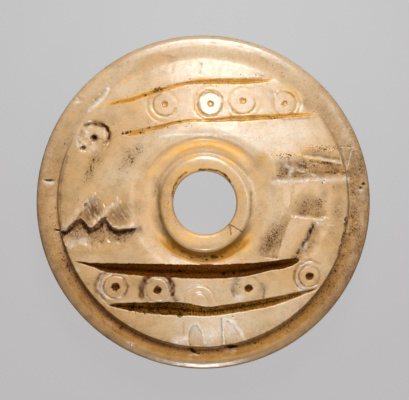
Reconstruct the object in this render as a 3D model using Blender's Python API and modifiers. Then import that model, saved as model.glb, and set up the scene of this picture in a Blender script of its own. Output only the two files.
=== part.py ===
"""Carved spindle whorl: a low domed disc of pale, polished bone with a collared bore."""

import bpy
import bmesh
from math import cos, hypot, pi, radians, sin
from mathutils import Vector

# Lengths are in metres, +Z up. The whorl lies on its flat underside with the
# carved face up, and the origin is the middle of that underside.

# The turned body
WHORL_DIAMETER = 0.042
WHORL_THICKNESS = 0.0091     # underside to the top of the collar
DOME_RISE = 0.0028           # from the face's edge up to the crown of the dome
RIM_BAND_WIDTH = 0.0028      # from the face's edge out to the widest point
FACE_STEP = 0.0009           # drop from the face's edge into the hollow round it
STEP_RUN = 0.00024           # the wall of that step leans out by this much
LIP_WIDTH = 0.0014           # rolled lip, from its top out to the widest point
LIP_SWELL = 0.00016          # rise of the hollow from the foot of the step to the lip
LIP_FALL = 0.0014            # from the lip's top down to the widest point
FOOT_ROUND = 0.0014          # rounding between the side and the underside

# The bore, collar and cove, turned about the bore's own axis
BORE_DIAMETER = 0.008
BORE_ACROSS = 0.0002         # the bore sits a little off the middle
BORE_UP = -0.0001
BORE_MOUTH = 0.0003          # chamfer where the bore leaves the underside
COLLAR_WALL = 0.0019         # bore to the collar's outer wall
COLLAR_FLARE = 0.0009        # width of the bore's flare inside the collar
COLLAR_FLARE_DEPTH = 0.0013
COLLAR_FLAT = 0.0004         # flat ring on top of the collar
COLLAR_SHOULDER = 0.0005     # drop of the collar's rounded outer shoulder
COLLAR_TRIM = 0.00005        # the collar's top lies this far inside the dome
COVE_WIDTH = 0.0026          # collar's wall to the cove's crisp outer edge
COVE_DEPTH = 0.00125         # cove's floor below the collar's top
COVE_FLOOR_OFFSET = 0.0008   # the deepest line of the cove, out from the collar
COVE_LEDGE_DROP = 0.00035    # short steep drop just inside the cove's outer edge
COVE_LEDGE_RUN = 0.0003

# The compass-drilled ring-and-dots
DOT_DIAMETER = 0.00114
DOT_DEPTH = 0.0007
DOT_POINT = 0.0002           # drill point below the dot's straight wall
INNER_RING_RADIUS = 0.00149
OUTER_RING_RADIUS = 0.00212
WORN_INNER_RADIUS = 0.00095  # arcs of the ring-and-dot that lost its lower half
WORN_OUTER_RADIUS = 0.0019
RING_WIDTH = 0.00028
RING_DEPTH = 0.00017
EYE_DOT_DIAMETER = 0.0009
EYE_RING_RADIUS = 0.00204
EYE_RING_WIDTH = 0.0006
EYE_RING_DEPTH = 0.00035

# Depths of the knife cuts
UPPER_GROOVE_DEPTH = 0.0004
LOWER_GROOVE_DEPTH = 0.001
BASE_GROOVE_DEPTH = 0.00085
TOOTH_DEPTH = 0.00045
SCOOP_DEPTH = 0.00045
LEDGE_DEPTH = 0.0003
STRIP_DEPTH = 0.0003
WORN_STRIP_DEPTH = 0.00008
FACET_DEPTH = 0.0001
SIDE_FACET_DEPTH = 0.0002
NICK_DEPTH = 0.0003

# How far the cutters stand clear of the face, and how finely curves are divided
OVERRUN = 0.00005
FADE_LIFT = 0.00002
CLEARANCE = 0.0006
BODY_STEPS = 64
BORE_STEPS = 48
RING_STEPS = 16
DOME_RINGS = 5
HOLLOW_STEPS = 3
CURVE_STEPS = 4
SHARP_ANGLE = radians(25)

# Sizes that follow from the ones above
WHORL_RADIUS = WHORL_DIAMETER / 2
FACE_RADIUS = WHORL_RADIUS - RIM_BAND_WIDTH
BORE_RADIUS = BORE_DIAMETER / 2
COLLAR_RADIUS = BORE_RADIUS + COLLAR_WALL
COVE_RADIUS = COLLAR_RADIUS + COVE_WIDTH
COLLAR_REACH = COLLAR_RADIUS + hypot(BORE_ACROSS, BORE_UP)
CROWN_HEIGHT = WHORL_THICKNESS + COLLAR_TRIM + DOME_RISE * (COLLAR_REACH / FACE_RADIUS) ** 2
FACE_EDGE_HEIGHT = CROWN_HEIGHT - DOME_RISE
HOLLOW_HEIGHT = FACE_EDGE_HEIGHT - FACE_STEP
LIP_HEIGHT = HOLLOW_HEIGHT + LIP_SWELL
SIDE_HEIGHT = LIP_HEIGHT - LIP_FALL
CUTTER_TOP = CROWN_HEIGHT + CLEARANCE

# Where the ring-and-dots sit, as shares of the face's radius: across, up and
# the share of the full size they were cut at.
RING_AND_DOTS = (
    (-0.265, 0.676, 1.0),
    (0.049, 0.680, 1.0),
    (0.274, 0.699, 1.0),
    (0.563, 0.680, 1.0),
    (-0.608, -0.588, 1.0),
    (-0.317, -0.608, 1.0),
    (0.312, -0.593, 1.0),
    (0.734, -0.511, 0.87),
)
WORN_RING_PLACE = (-0.029, -0.683)
EYE_PLACE = (-0.759, 0.441)

# Each knife cut is a row of stations along it. A station gives one lip, the
# other lip (across, up, across, up, as shares of the face's radius) and the
# share of the cut's full depth there. The bottom lies between the lips, at the
# cut's own share of the way from the first to the second.
UPPER_BAND_TOP = (
    (-0.722, 0.660, -0.715, 0.653, 0.0),
    (-0.639, 0.694, -0.625, 0.669, 0.5),
    (-0.507, 0.723, -0.493, 0.694, 1.0),
    (-0.403, 0.760, -0.389, 0.728, 1.0),
    (-0.140, 0.823, -0.133, 0.803, 0.5),
    (-0.030, 0.850, -0.025, 0.815, 0.8),
    (0.324, 0.852, 0.324, 0.815, 1.0),
    (0.511, 0.855, 0.511, 0.847, 0.0),
)
UPPER_BAND_FOOT = (
    (-0.563, 0.466, -0.556, 0.458, 0.0),
    (-0.507, 0.489, -0.493, 0.458, 0.8),
    (-0.378, 0.518, -0.369, 0.487, 0.9),
    (-0.140, 0.569, -0.133, 0.546, 0.6),
    (0.012, 0.579, 0.012, 0.548, 0.6),
    (0.310, 0.600, 0.310, 0.557, 1.0),
    (0.636, 0.617, 0.636, 0.583, 0.8),
    (0.823, 0.617, 0.823, 0.609, 0.0),
)
LOWER_BAND_TOP = (
    (-0.909, -0.401, -0.895, -0.415, 0.0),
    (-0.780, -0.418, -0.764, -0.450, 0.4),
    (-0.660, -0.420, -0.650, -0.490, 0.8),
    (-0.369, -0.426, -0.356, -0.516, 1.0),
    (0.019, -0.430, 0.019, -0.532, 1.0),
    (0.300, -0.422, 0.280, -0.516, 1.0),
    (0.470, -0.408, 0.449, -0.477, 0.9),
    (0.567, -0.394, 0.581, -0.455, 0.7),
    (0.664, -0.376, 0.678, -0.408, 0.0),
)
LOWER_BAND_FOOT = (
    (-0.681, -0.703, -0.667, -0.717, 0.0),
    (-0.577, -0.696, -0.563, -0.744, 0.6),
    (-0.369, -0.690, -0.356, -0.778, 1.0),
    (-0.140, -0.694, -0.130, -0.790, 1.0),
    (0.024, -0.720, 0.026, -0.793, 0.9),
    (0.161, -0.706, 0.165, -0.778, 1.0),
    (0.463, -0.658, 0.477, -0.722, 0.8),
    (0.716, -0.604, 0.723, -0.633, 0.4),
    (0.802, -0.583, 0.809, -0.594, 0.0),
)
LEFT_TOOTH = (
    (-0.972, -0.204, -0.778, -0.193, 1.5),
    (-0.854, -0.069, -0.708, -0.121, 1.2),
    (-0.784, 0.008, -0.660, -0.055, 0.5),
    (-0.736, 0.063, -0.632, -0.006, 0.0),
)
RIGHT_TOOTH = (
    (-0.778, -0.193, -0.445, -0.193, 1.0),
    (-0.687, -0.103, -0.521, -0.103, 0.8),
    (-0.625, -0.034, -0.535, -0.055, 0.4),
    (-0.570, 0.028, -0.528, -0.006, 0.0),
)
TOOTH_SCOOP = (
    (-0.972, -0.200, -0.935, -0.300, 0.4),
    (-0.888, -0.206, -0.868, -0.332, 0.9),
    (-0.778, -0.190, -0.760, -0.346, 1.0),
    (-0.687, -0.190, -0.674, -0.346, 1.0),
    (-0.563, -0.202, -0.556, -0.318, 0.9),
    (-0.445, -0.182, -0.431, -0.214, 0.0),
)
RIGHT_SCOOP = (
    (0.470, 0.129, 0.477, 0.299, 0.4),
    (0.602, 0.137, 0.608, 0.344, 0.9),
    (0.740, 0.146, 0.699, 0.326, 1.0),
    (0.879, 0.157, 0.823, 0.292, 1.0),
    (1.031, 0.174, 1.031, 0.264, 0.7),
)
RIGHT_UPPER_LEDGE = (
    (0.726, 0.316, 0.699, 0.371, 0.4),
    (0.844, 0.302, 0.802, 0.399, 1.0),
    (0.955, 0.278, 0.920, 0.368, 0.8),
)
RIGHT_LOWER_LEDGE = (
    (0.622, 0.236, 0.608, 0.313, 0.5),
    (0.705, 0.219, 0.692, 0.299, 1.0),
    (0.789, 0.191, 0.775, 0.264, 0.3),
)
CROSS_SCOOP = (
    (0.608, -0.100, 0.650, 0.035, 0.4),
    (0.712, -0.114, 0.733, 0.056, 1.0),
    (0.837, -0.126, 0.830, 0.042, 0.7),
)
LONG_STRIP = (
    (0.581, -0.037, 0.622, -0.076, 0.2),
    (0.477, -0.200, 0.574, -0.235, 1.0),
    (0.367, -0.378, 0.518, -0.387, 0.9),
)
SHORT_STRIP = (
    (0.764, -0.148, 0.827, -0.166, 0.3),
    (0.699, -0.270, 0.796, -0.283, 1.0),
    (0.633, -0.394, 0.759, -0.394, 0.8),
)
WORN_LONG_STRIP = (
    (-0.369, 0.382, -0.521, 0.368, 0.6),
    (-0.466, 0.222, -0.570, 0.236, 1.0),
    (-0.577, 0.042, -0.625, 0.112, 0.3),
)
WORN_SHORT_STRIP = (
    (-0.632, 0.389, -0.757, 0.382, 0.6),
    (-0.694, 0.271, -0.784, 0.271, 1.0),
    (-0.757, 0.153, -0.826, 0.167, 0.3),
)
BASE_TONGUE = (
    (-0.078, -0.842, -0.060, -0.850, 0.3),
    (-0.108, -0.905, -0.010, -0.900, 1.0),
    (-0.108, -0.990, 0.005, -1.000, 1.0),
)
BASE_TRIANGLE = (
    (0.146, -0.812, 0.165, -0.815, 0.4),
    (0.147, -0.900, 0.225, -0.900, 1.0),
    (0.148, -0.990, 0.295, -0.975, 1.0),
)

RIGHT_FACET = (
    (1.040, 0.160, 0.900, 0.150, 0.0),
    (1.040, 0.000, 0.850, -0.020, 0.8),
    (1.030, -0.200, 0.840, -0.200, 1.0),
    (0.970, -0.380, 0.845, -0.360, 0.8),
    (0.900, -0.530, 0.870, -0.500, 0.0),
)
LEFT_FACET = (
    (-1.000, 0.340, -0.900, 0.320, 0.0),
    (-1.040, 0.200, -0.850, 0.200, 0.8),
    (-1.040, 0.050, -0.850, 0.050, 0.9),
    (-1.030, -0.120, -0.920, -0.100, 0.0),
)

# Nicks on the rim band, given in the same way.
NICKS = {
    "left": ((-1.113, 0.158, -1.112, 0.146, 0.2), (-1.067, 0.163, -1.065, 0.132, 1.0),
             (-1.025, 0.156, -1.023, 0.146, 0.2)),
    "upper_left": ((-0.912, 0.714, -0.912, 0.700, 0.2), (-0.869, 0.732, -0.869, 0.694, 1.0),
                   (-0.826, 0.721, -0.826, 0.707, 0.2)),
    "left_low": ((-1.037, -0.184, -1.037, -0.194, 0.2), (-1.010, -0.186, -1.012, -0.206, 1.0),
                 (-0.985, -0.194, -0.985, -0.206, 0.4)),
    "base_left": ((-0.109, -0.997, -0.107, -1.004, 0.3), (-0.070, -1.004, -0.080, -1.042, 1.0),
                  (-0.026, -1.048, -0.030, -1.060, 0.2)),
    "base_right": ((0.123, -0.987, 0.125, -0.995, 0.3), (0.185, -0.982, 0.187, -1.014, 1.0),
                   (0.245, -0.998, 0.243, -1.008, 0.2)),
}


def clear_scene():
    """Remove every object that the file starts with."""
    for thing in list(bpy.data.objects):
        bpy.data.objects.remove(thing, do_unlink=True)


def new_collection(name):
    """Make a collection and put it in the scene."""
    group = bpy.data.collections.new(name)
    bpy.context.scene.collection.children.link(group)
    return group


def face_height(x, y):
    """Height of the dome over a place, carried on past the face's edge."""
    return CROWN_HEIGHT - DOME_RISE * (hypot(x, y) / FACE_RADIUS) ** 2


def face_normal(x, y):
    """Direction straight out of the dome at a place."""
    steepness = 2 * DOME_RISE / FACE_RADIUS ** 2
    return Vector((steepness * x, steepness * y, 1)).normalized()


def rim_arc():
    """The rim band: step, hollow and rolled lip, out to the widest point."""
    foot = FACE_RADIUS + STEP_RUN
    lip_top = WHORL_RADIUS - LIP_WIDTH
    arc = []
    for step in range(HOLLOW_STEPS):
        share = step / HOLLOW_STEPS
        swell = LIP_SWELL * sin(pi / 2 * share)
        arc.append((foot + (lip_top - foot) * share, HOLLOW_HEIGHT + swell))
    for step in range(CURVE_STEPS + 1):
        turn = pi / 2 * step / CURVE_STEPS
        arc.append((lip_top + LIP_WIDTH * sin(turn), SIDE_HEIGHT + LIP_FALL * cos(turn)))
    return arc


def foot_arc():
    """Rounding from the side in to the underside."""
    arc = []
    for step in range(CURVE_STEPS + 1):
        turn = pi / 2 * step / CURVE_STEPS
        inward = WHORL_RADIUS - FOOT_ROUND + FOOT_ROUND * cos(turn)
        arc.append((inward, FOOT_ROUND - FOOT_ROUND * sin(turn)))
    return arc


def body_profile():
    """Outer side of the uncarved whorl, from the crown down to the underside."""
    profile = []
    for ring in range(DOME_RINGS + 1):
        radius = FACE_RADIUS * ring / DOME_RINGS
        profile.append((radius, face_height(radius, 0)))
    profile += rim_arc()
    profile += foot_arc()
    profile.append((0, 0))
    return profile


def rim_height(x, y):
    """Height of the uncarved whorl over a place on its rim band."""
    radius = hypot(x, y)
    slope_points = [(FACE_RADIUS, FACE_EDGE_HEIGHT)] + rim_arc()
    for (near, high), (far, low) in zip(slope_points, slope_points[1:]):
        if near <= radius <= far:
            return high + (low - high) * (radius - near) / (far - near)
    return face_height(x, y)


def bore_profile():
    """Outer side of the cutter that leaves the cove, the collar and the bore."""
    edge_height = face_height(COVE_RADIUS, 0)
    ledge_radius = COVE_RADIUS - COVE_LEDGE_RUN
    ledge_height = edge_height - COVE_LEDGE_DROP
    floor_radius = COLLAR_RADIUS + COVE_FLOOR_OFFSET
    floor_height = WHORL_THICKNESS - COVE_DEPTH
    shoulder_height = WHORL_THICKNESS - COLLAR_SHOULDER
    flat_inside = BORE_RADIUS + COLLAR_FLARE
    flat_outside = flat_inside + COLLAR_FLAT
    wall_foot = floor_height + (shoulder_height - floor_height) * 0.5
    flank = COVE_LEDGE_RUN / COVE_LEDGE_DROP

    profile = [(0, CUTTER_TOP)]
    profile.append((COVE_RADIUS + (CUTTER_TOP - edge_height) * flank, CUTTER_TOP))
    for step in range(CURVE_STEPS + 1):
        share = 1 - step / CURVE_STEPS
        radius = floor_radius + (ledge_radius - floor_radius) * share
        profile.append((radius, floor_height + (ledge_height - floor_height) * share ** 2))
    for step in range(1, CURVE_STEPS):
        turn = pi / 2 * step / (CURVE_STEPS - 1)
        radius = floor_radius - COVE_FLOOR_OFFSET * sin(turn)
        profile.append((radius, wall_foot - (wall_foot - floor_height) * cos(turn)))
    for step in range(CURVE_STEPS):
        turn = pi / 2 * step / (CURVE_STEPS - 1)
        radius = flat_outside + (COLLAR_RADIUS - flat_outside) * cos(turn)
        profile.append((radius, shoulder_height + COLLAR_SHOULDER * sin(turn)))
    for step in range(CURVE_STEPS + 1):
        turn = pi / 2 * step / CURVE_STEPS
        radius = flat_inside - COLLAR_FLARE * sin(turn)
        drop = COLLAR_FLARE_DEPTH * (1 - cos(turn))
        profile.append((radius, WHORL_THICKNESS - drop))
    profile.append((BORE_RADIUS, BORE_MOUTH))
    profile.append((BORE_RADIUS + BORE_MOUTH + CLEARANCE, -CLEARANCE))
    profile.append((0, -CLEARANCE))
    return profile


def ring_cutter_profile(rings, ring_width, ring_depth, dot_radius):
    """Toothed drill for one motif: V-shaped teeth for the rings, a point for the dot."""
    spread = ring_width / 2 * (1 + OVERRUN / ring_depth)
    profile = [(0, CLEARANCE), (max(rings) + spread, CLEARANCE)]
    for ring in sorted(rings, reverse=True):
        profile.append((ring + spread, OVERRUN))
        profile.append((ring, -ring_depth))
        profile.append((ring - spread, OVERRUN))
    if dot_radius:
        profile.append((dot_radius, OVERRUN))
        profile.append((dot_radius, -DOT_DEPTH))
        profile.append((0, -DOT_DEPTH - DOT_POINT))
    else:
        profile.append((0, OVERRUN))
    return profile


def turned(name, profile, steps, group):
    """Turn a profile about Z with a Screw modifier."""
    mesh = bpy.data.meshes.new(name)
    corners = [(radius, 0, height) for radius, height in profile]
    edges = [(index, index + 1) for index in range(len(corners) - 1)]
    mesh.from_pydata(corners, edges, [])
    piece = bpy.data.objects.new(name, mesh)
    group.objects.link(piece)
    screw = piece.modifiers.new("turn", "SCREW")
    screw.steps = steps
    screw.render_steps = steps
    screw.use_merge_vertices = True
    screw.merge_threshold = 0.000001
    return piece


def smooth_stations(stations, spans):
    """More stations along a cut, on one smooth curve through the given ones."""
    row = []
    last = len(stations) - 1
    for index in range(last):
        before = stations[max(index - 1, 0)]
        start = stations[index]
        end = stations[index + 1]
        after = stations[min(index + 2, last)]
        for span in range(spans):
            t = span / spans
            row.append([catmull_rom(*values, t) for values in zip(before, start, end, after)])
    row.append(list(stations[-1]))
    return row


def catmull_rom(before, start, end, after, t):
    """Value at t on the smooth curve from start to end."""
    slope_in = (end - before) / 2
    slope_out = (after - start) / 2
    bend = 2 * (start - end) + slope_in + slope_out
    lean = 3 * (end - start) - 2 * slope_in - slope_out
    return start + slope_in * t + lean * t * t + bend * t * t * t


def cut_section(station, bottom_share, full_depth, height_of):
    """Five corners of a cut's section, from its bottom up each side and over."""
    near = Vector(station[0:2]) * FACE_RADIUS
    far = Vector(station[2:4]) * FACE_RADIUS
    depth = full_depth * max(station[4], 0)
    bottom = near.lerp(far, bottom_share)
    spread = OVERRUN / max(depth, 2 * OVERRUN)
    corners = [(bottom.x, bottom.y, height_of(bottom.x, bottom.y) - depth + FADE_LIFT)]
    for lip in (far, near):
        over = lip + (lip - bottom) * spread
        low = (over.x, over.y, height_of(lip.x, lip.y) + OVERRUN)
        high = (over.x, over.y, CUTTER_TOP)
        corners += [low, high] if lip is far else [high, low]
    return corners


def knife_cut(name, stations, bottom_share, full_depth, group, spans=2, height_of=face_height):
    """Cutter for one knife cut, lofted through the sections at its stations."""
    shape = bmesh.new()
    rows = []
    for station in smooth_stations(stations, spans):
        section = cut_section(station, bottom_share, full_depth, height_of)
        rows.append([shape.verts.new(corner) for corner in section])
    for row, following in zip(rows, rows[1:]):
        for index in range(len(row)):
            after = (index + 1) % len(row)
            shape.faces.new((row[index], row[after], following[after], following[index]))
    shape.faces.new(rows[0])
    shape.faces.new(rows[-1])
    bmesh.ops.triangulate(shape, faces=shape.faces)
    bmesh.ops.recalc_face_normals(shape, faces=shape.faces)
    mesh = bpy.data.meshes.new(name)
    shape.to_mesh(mesh)
    shape.free()
    piece = bpy.data.objects.new(name, mesh)
    group.objects.link(piece)
    return piece


def ring_cutter(name, place, rings, ring_width, ring_depth, dot_radius, group):
    """Motif cutter, set square to the dome at its place on the face."""
    profile = ring_cutter_profile(rings, ring_width, ring_depth, dot_radius)
    piece = turned(name, profile, RING_STEPS, group)
    x = place[0] * FACE_RADIUS
    y = place[1] * FACE_RADIUS
    piece.location = (x, y, face_height(x, y))
    piece.rotation_mode = "QUATERNION"
    piece.rotation_quaternion = Vector((0, 0, 1)).rotation_difference(face_normal(x, y))
    return piece


def make_bore_cutter(group):
    """One turned cutter for everything that is round the bore's axis."""
    cutter = turned("bore_cutter", bore_profile(), BORE_STEPS, group)
    cutter.location = (BORE_ACROSS, BORE_UP, 0)


def make_ring_cutters(group):
    """Ring-and-dots of both bands, the half-lost one and the eye at the left."""
    for number, (across, up, size) in enumerate(RING_AND_DOTS, start=1):
        rings = (INNER_RING_RADIUS * size, OUTER_RING_RADIUS * size)
        ring_cutter(f"ring_and_dot_{number}", (across, up), rings, RING_WIDTH, RING_DEPTH,
                    DOT_DIAMETER / 2, group)
    ring_cutter("worn_rings", WORN_RING_PLACE, (WORN_INNER_RADIUS, WORN_OUTER_RADIUS),
                RING_WIDTH, RING_DEPTH, 0, group)
    ring_cutter("eye", EYE_PLACE, (EYE_RING_RADIUS,), EYE_RING_WIDTH, EYE_RING_DEPTH,
                EYE_DOT_DIAMETER / 2, group)


def make_knife_cuts(group):
    """The bands' grooves, the teeth, scoops, ledges, strips, facets and nicks."""
    knife_cut("upper_band_top", UPPER_BAND_TOP, 0.6, UPPER_GROOVE_DEPTH, group, 3)
    knife_cut("upper_band_foot", UPPER_BAND_FOOT, 0.55, UPPER_GROOVE_DEPTH, group, 3)
    knife_cut("lower_band_top", LOWER_BAND_TOP, 0.66, LOWER_GROOVE_DEPTH, group, 3)
    knife_cut("lower_band_foot", LOWER_BAND_FOOT, 0.45, BASE_GROOVE_DEPTH, group, 3)
    knife_cut("tooth_scoop", TOOTH_SCOOP, 0.08, TOOTH_DEPTH + SCOOP_DEPTH, group)
    knife_cut("left_tooth", LEFT_TOOTH, 0.1, TOOTH_DEPTH, group)
    knife_cut("right_tooth", RIGHT_TOOTH, 0.1, TOOTH_DEPTH, group)
    knife_cut("right_scoop", RIGHT_SCOOP, 0.12, SCOOP_DEPTH, group)
    knife_cut("right_upper_ledge", RIGHT_UPPER_LEDGE, 0.12, LEDGE_DEPTH, group)
    knife_cut("right_lower_ledge", RIGHT_LOWER_LEDGE, 0.12, SCOOP_DEPTH, group)
    knife_cut("cross_scoop", CROSS_SCOOP, 0.08, LEDGE_DEPTH, group)
    knife_cut("long_strip", LONG_STRIP, 0.12, STRIP_DEPTH, group)
    knife_cut("short_strip", SHORT_STRIP, 0.15, STRIP_DEPTH, group)
    knife_cut("worn_long_strip", WORN_LONG_STRIP, 0.3, WORN_STRIP_DEPTH, group)
    knife_cut("worn_short_strip", WORN_SHORT_STRIP, 0.3, WORN_STRIP_DEPTH, group)
    knife_cut("base_tongue", BASE_TONGUE, 0.15, FACET_DEPTH, group)
    knife_cut("base_triangle", BASE_TRIANGLE, 0.05, FACET_DEPTH, group)
    knife_cut("right_facet", RIGHT_FACET, 0.01, SIDE_FACET_DEPTH, group)
    knife_cut("left_facet", LEFT_FACET, 0.01, SIDE_FACET_DEPTH, group)
    for place, stations in NICKS.items():
        knife_cut(f"nick_{place}", stations, 0.4, NICK_DEPTH, group, 2, rim_height)


def bone_material():
    """Cream, polished bone."""
    material = bpy.data.materials.new("polished_bone")
    material.use_nodes = True
    shader = material.node_tree.nodes["Principled BSDF"]
    shader.inputs["Base Color"].default_value = (0.76, 0.60, 0.41, 1)
    shader.inputs["Roughness"].default_value = 0.38
    shader.inputs["Metallic"].default_value = 0
    return material


def carve(body, cutters):
    """Take every cutter out of the body and keep the result as its mesh."""
    carving = body.modifiers.new("carving", "BOOLEAN")
    carving.operation = "DIFFERENCE"
    carving.operand_type = "COLLECTION"
    carving.collection = cutters
    carving.solver = "EXACT"
    bpy.context.view_layer.update()
    evaluated = body.evaluated_get(bpy.context.evaluated_depsgraph_get())
    mesh = bpy.data.meshes.new_from_object(evaluated)
    body.modifiers.clear()
    body.data = mesh
    shape = bmesh.new()
    shape.from_mesh(mesh)
    bmesh.ops.remove_doubles(shape, verts=shape.verts, dist=0.000002)
    bmesh.ops.dissolve_degenerate(shape, dist=0.000001, edges=shape.edges)
    shape.to_mesh(mesh)
    shape.free()
    mesh.shade_smooth()
    mesh.set_sharp_from_angle(angle=SHARP_ANGLE)


def main():
    clear_scene()
    parts = new_collection("spindle_whorl")
    cutters = new_collection("cutters")
    body = turned("spindle_whorl", body_profile(), BODY_STEPS, parts)
    make_bore_cutter(cutters)
    make_ring_cutters(cutters)
    make_knife_cuts(cutters)
    for cutter in cutters.objects:
        cutter.hide_render = True
        cutter.display_type = "WIRE"
    carve(body, cutters)
    body.data.materials.clear()
    body.data.materials.append(bone_material())


main()
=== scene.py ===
# %% [markdown]
# # A carved spindle whorl
#
# A spindle whorl is the weight that keeps a hand spindle turning. This one was
# turned from a single piece of pale bone, carved on its upper side with a knife
# and a small compass drill, and then handled for years, so it is smooth on the
# high places and stained in the cuts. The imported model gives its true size. This
# script makes one fine mesh of the same form, gives it a bone finish and lights it.

# %% Load the frame
from math import cos, hypot, pi, radians, sin, sqrt

import bpy
import numpy as np
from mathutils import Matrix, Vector
from mathutils.geometry import delaunay_2d_cdt


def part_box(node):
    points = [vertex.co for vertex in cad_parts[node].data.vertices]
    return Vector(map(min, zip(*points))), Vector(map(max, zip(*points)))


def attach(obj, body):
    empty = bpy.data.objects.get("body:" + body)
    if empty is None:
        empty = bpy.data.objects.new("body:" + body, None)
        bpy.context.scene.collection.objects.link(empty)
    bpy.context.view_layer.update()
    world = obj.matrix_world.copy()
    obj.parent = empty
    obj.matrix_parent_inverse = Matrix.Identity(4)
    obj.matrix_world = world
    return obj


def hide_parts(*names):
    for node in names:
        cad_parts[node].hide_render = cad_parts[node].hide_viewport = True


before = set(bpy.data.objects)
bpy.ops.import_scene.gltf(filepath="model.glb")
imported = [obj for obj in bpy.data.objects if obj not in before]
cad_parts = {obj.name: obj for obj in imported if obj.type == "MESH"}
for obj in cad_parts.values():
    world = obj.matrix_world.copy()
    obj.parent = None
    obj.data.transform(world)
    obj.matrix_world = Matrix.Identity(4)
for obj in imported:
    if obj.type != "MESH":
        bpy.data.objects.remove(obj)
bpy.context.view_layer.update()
lowest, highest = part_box("spindle_whorl")
MM = 0.001
WHORL_RADIUS = (highest.x - lowest.x) / 2 / MM
THICKNESS = highest.z / MM
print("whorl:", round(2 * WHORL_RADIUS, 2), "mm across,", round(THICKNESS, 2), "mm thick")

# %% [markdown]
# ## Camera and light
#
# The whorl lies flat and the camera looks straight down on it from a metre away
# through a long lens, so that near and far parts keep almost the same scale. A large
# softbox leans over it from the top of the picture. A small, low one from the
# opposite side picks out the edges, and a dim card lifts the right side. Bright boxes
# in a dark room give polished bone its gloss, while an even white room would make it
# look like chalk.

# %% Camera
PICTURE_WIDTH = 409
PICTURE_SCALE = 0.1261                 # millimetres of the whorl in one pixel
PICTURE_MIDDLE = (0.164, 0.265)        # what the middle of the picture shows, in mm
CAMERA_DISTANCE = 1.0
SENSOR_WIDTH = 36
WIDEST_HEIGHT = 0.0045                 # the whorl is widest this far up


def make_camera():
    """Camera straight above the whorl, with the picture's width at its widest part."""
    lens_data = bpy.data.cameras.new("camera")
    lens_data.sensor_width = SENSOR_WIDTH
    lens_data.lens = SENSOR_WIDTH * CAMERA_DISTANCE / (PICTURE_WIDTH * PICTURE_SCALE * MM)
    camera = bpy.data.objects.new("camera", lens_data)
    height = WIDEST_HEIGHT + CAMERA_DISTANCE
    camera.location = (PICTURE_MIDDLE[0] * MM, PICTURE_MIDDLE[1] * MM, height)
    bpy.context.scene.collection.objects.link(camera)
    bpy.context.scene.camera = camera
    print("lens:", round(lens_data.lens), "mm")


make_camera()

# %% Softboxes and room


def softbox(name, side, elevation, distance, width, height, brightness):
    """Area light aimed at the whorl, with its brightness given as radiance."""
    lamp = bpy.data.lights.new(name, "AREA")
    lamp.shape = "RECTANGLE"
    lamp.size = width
    lamp.size_y = height
    lamp.energy = brightness * pi * width * height
    box = bpy.data.objects.new(name, lamp)
    turn, rise = radians(side), radians(elevation)
    away = Vector((sin(turn) * cos(rise), cos(turn) * cos(rise), sin(rise)))
    box.location = away * distance
    box.rotation_euler = away.to_track_quat("Z", "Y").to_euler()
    bpy.context.scene.collection.objects.link(box)
    print(name, "at", elevation, "degrees,", round(lamp.energy, 2), "W")


# Name, side clockwise from the picture's top and elevation in degrees, then distance,
# width and height in metres, and radiance.
SOFTBOXES = (
    ("key_softbox", 5, 51, 0.6, 0.21, 0.23, 20.4),
    ("low_fill", 180, 29, 0.6, 0.105, 0.036, 120.0),
    ("side_card", 65, 70, 0.6, 0.24, 0.20, 3.8),
)
ROOM_COLOUR = (1.0, 0.96, 0.90, 1)
ROOM_STRENGTH = 0.03

for row in SOFTBOXES:
    softbox(*row)
world = bpy.data.worlds.new("room")
world.use_nodes = True
background = world.node_tree.nodes["Background"]
background.inputs["Color"].default_value = ROOM_COLOUR
background.inputs["Strength"].default_value = ROOM_STRENGTH
bpy.context.scene.world = world
bpy.context.scene.view_settings.view_transform = "Standard"

# %% [markdown]
# ## The turned form
#
# Everything that the lathe made is one line, the profile, turned about the bore.
# From the bore it climbs a flare to the flat top of the collar, rolls over its
# shoulder, dips into a cove, steps up a short ledge and runs down the dome. At the
# face's edge it drops into a hollow, rolls over the lip and comes round underneath.
# The corners are rounded by averaging along the line, as wear does, so that the
# light catches them.

# %% Sizes of the turned form, in millimetres
DOME_RISE = 2.8
RIM_BAND_WIDTH = 2.8
FACE_STEP = 1.0
STEP_RUN = 0.24
LIP_WIDTH = 1.4
LIP_SWELL = 0.12
LIP_FALL = 0.75
LIP_ROUND = 1.0
LIP_SLOPE = 0.03                       # the lip's rounding starts this much lower
EDGE_WEAR = 0.1                        # how far the dome has worn down at its edge
EDGE_WEAR_WIDTH = 2.8
LEDGE_WEAR = 0.1                       # and beside the cove
LEDGE_WEAR_WIDTH = 0.8
FLAT_WEAR = 0.16                       # and half way up, which leaves it nearly a cone
FOOT_ROUND = 1.4
BORE_RADIUS = 4.0
BORE_PLACE = (0.2, -0.1)
BORE_MOUTH = 0.3
COLLAR_WALL = 1.9
COLLAR_MOUTH = 0.35                    # how far the bore's upper edge is rounded
COLLAR_FLARE = 1.2
COLLAR_FLARE_DEPTH = 0.5
COLLAR_DISH = 0.1                      # the collar's top dips this much towards the bore
COLLAR_FLAT = 0.1
COLLAR_SQUEEZE = 0.25                  # the collar is not quite round: narrower across
COLLAR_SHOULDER = 0.5
COLLAR_TRIM = 0.05
COVE_WIDTH = 2.6
COVE_DEPTH = 1.25
COVE_FLOOR_OFFSET = 0.8
COVE_LEDGE_DROP = 0.35
COVE_LEDGE_RUN = 0.3
WEAR = 0.07                            # how far wear has rounded the corners

FACE_RADIUS = WHORL_RADIUS - RIM_BAND_WIDTH
COLLAR_RADIUS = BORE_RADIUS + COLLAR_WALL
COVE_RADIUS = COLLAR_RADIUS + COVE_WIDTH
COLLAR_REACH = COLLAR_RADIUS + hypot(*BORE_PLACE)
CROWN_HEIGHT = THICKNESS + COLLAR_TRIM + DOME_RISE * (COLLAR_REACH / FACE_RADIUS) ** 2


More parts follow.
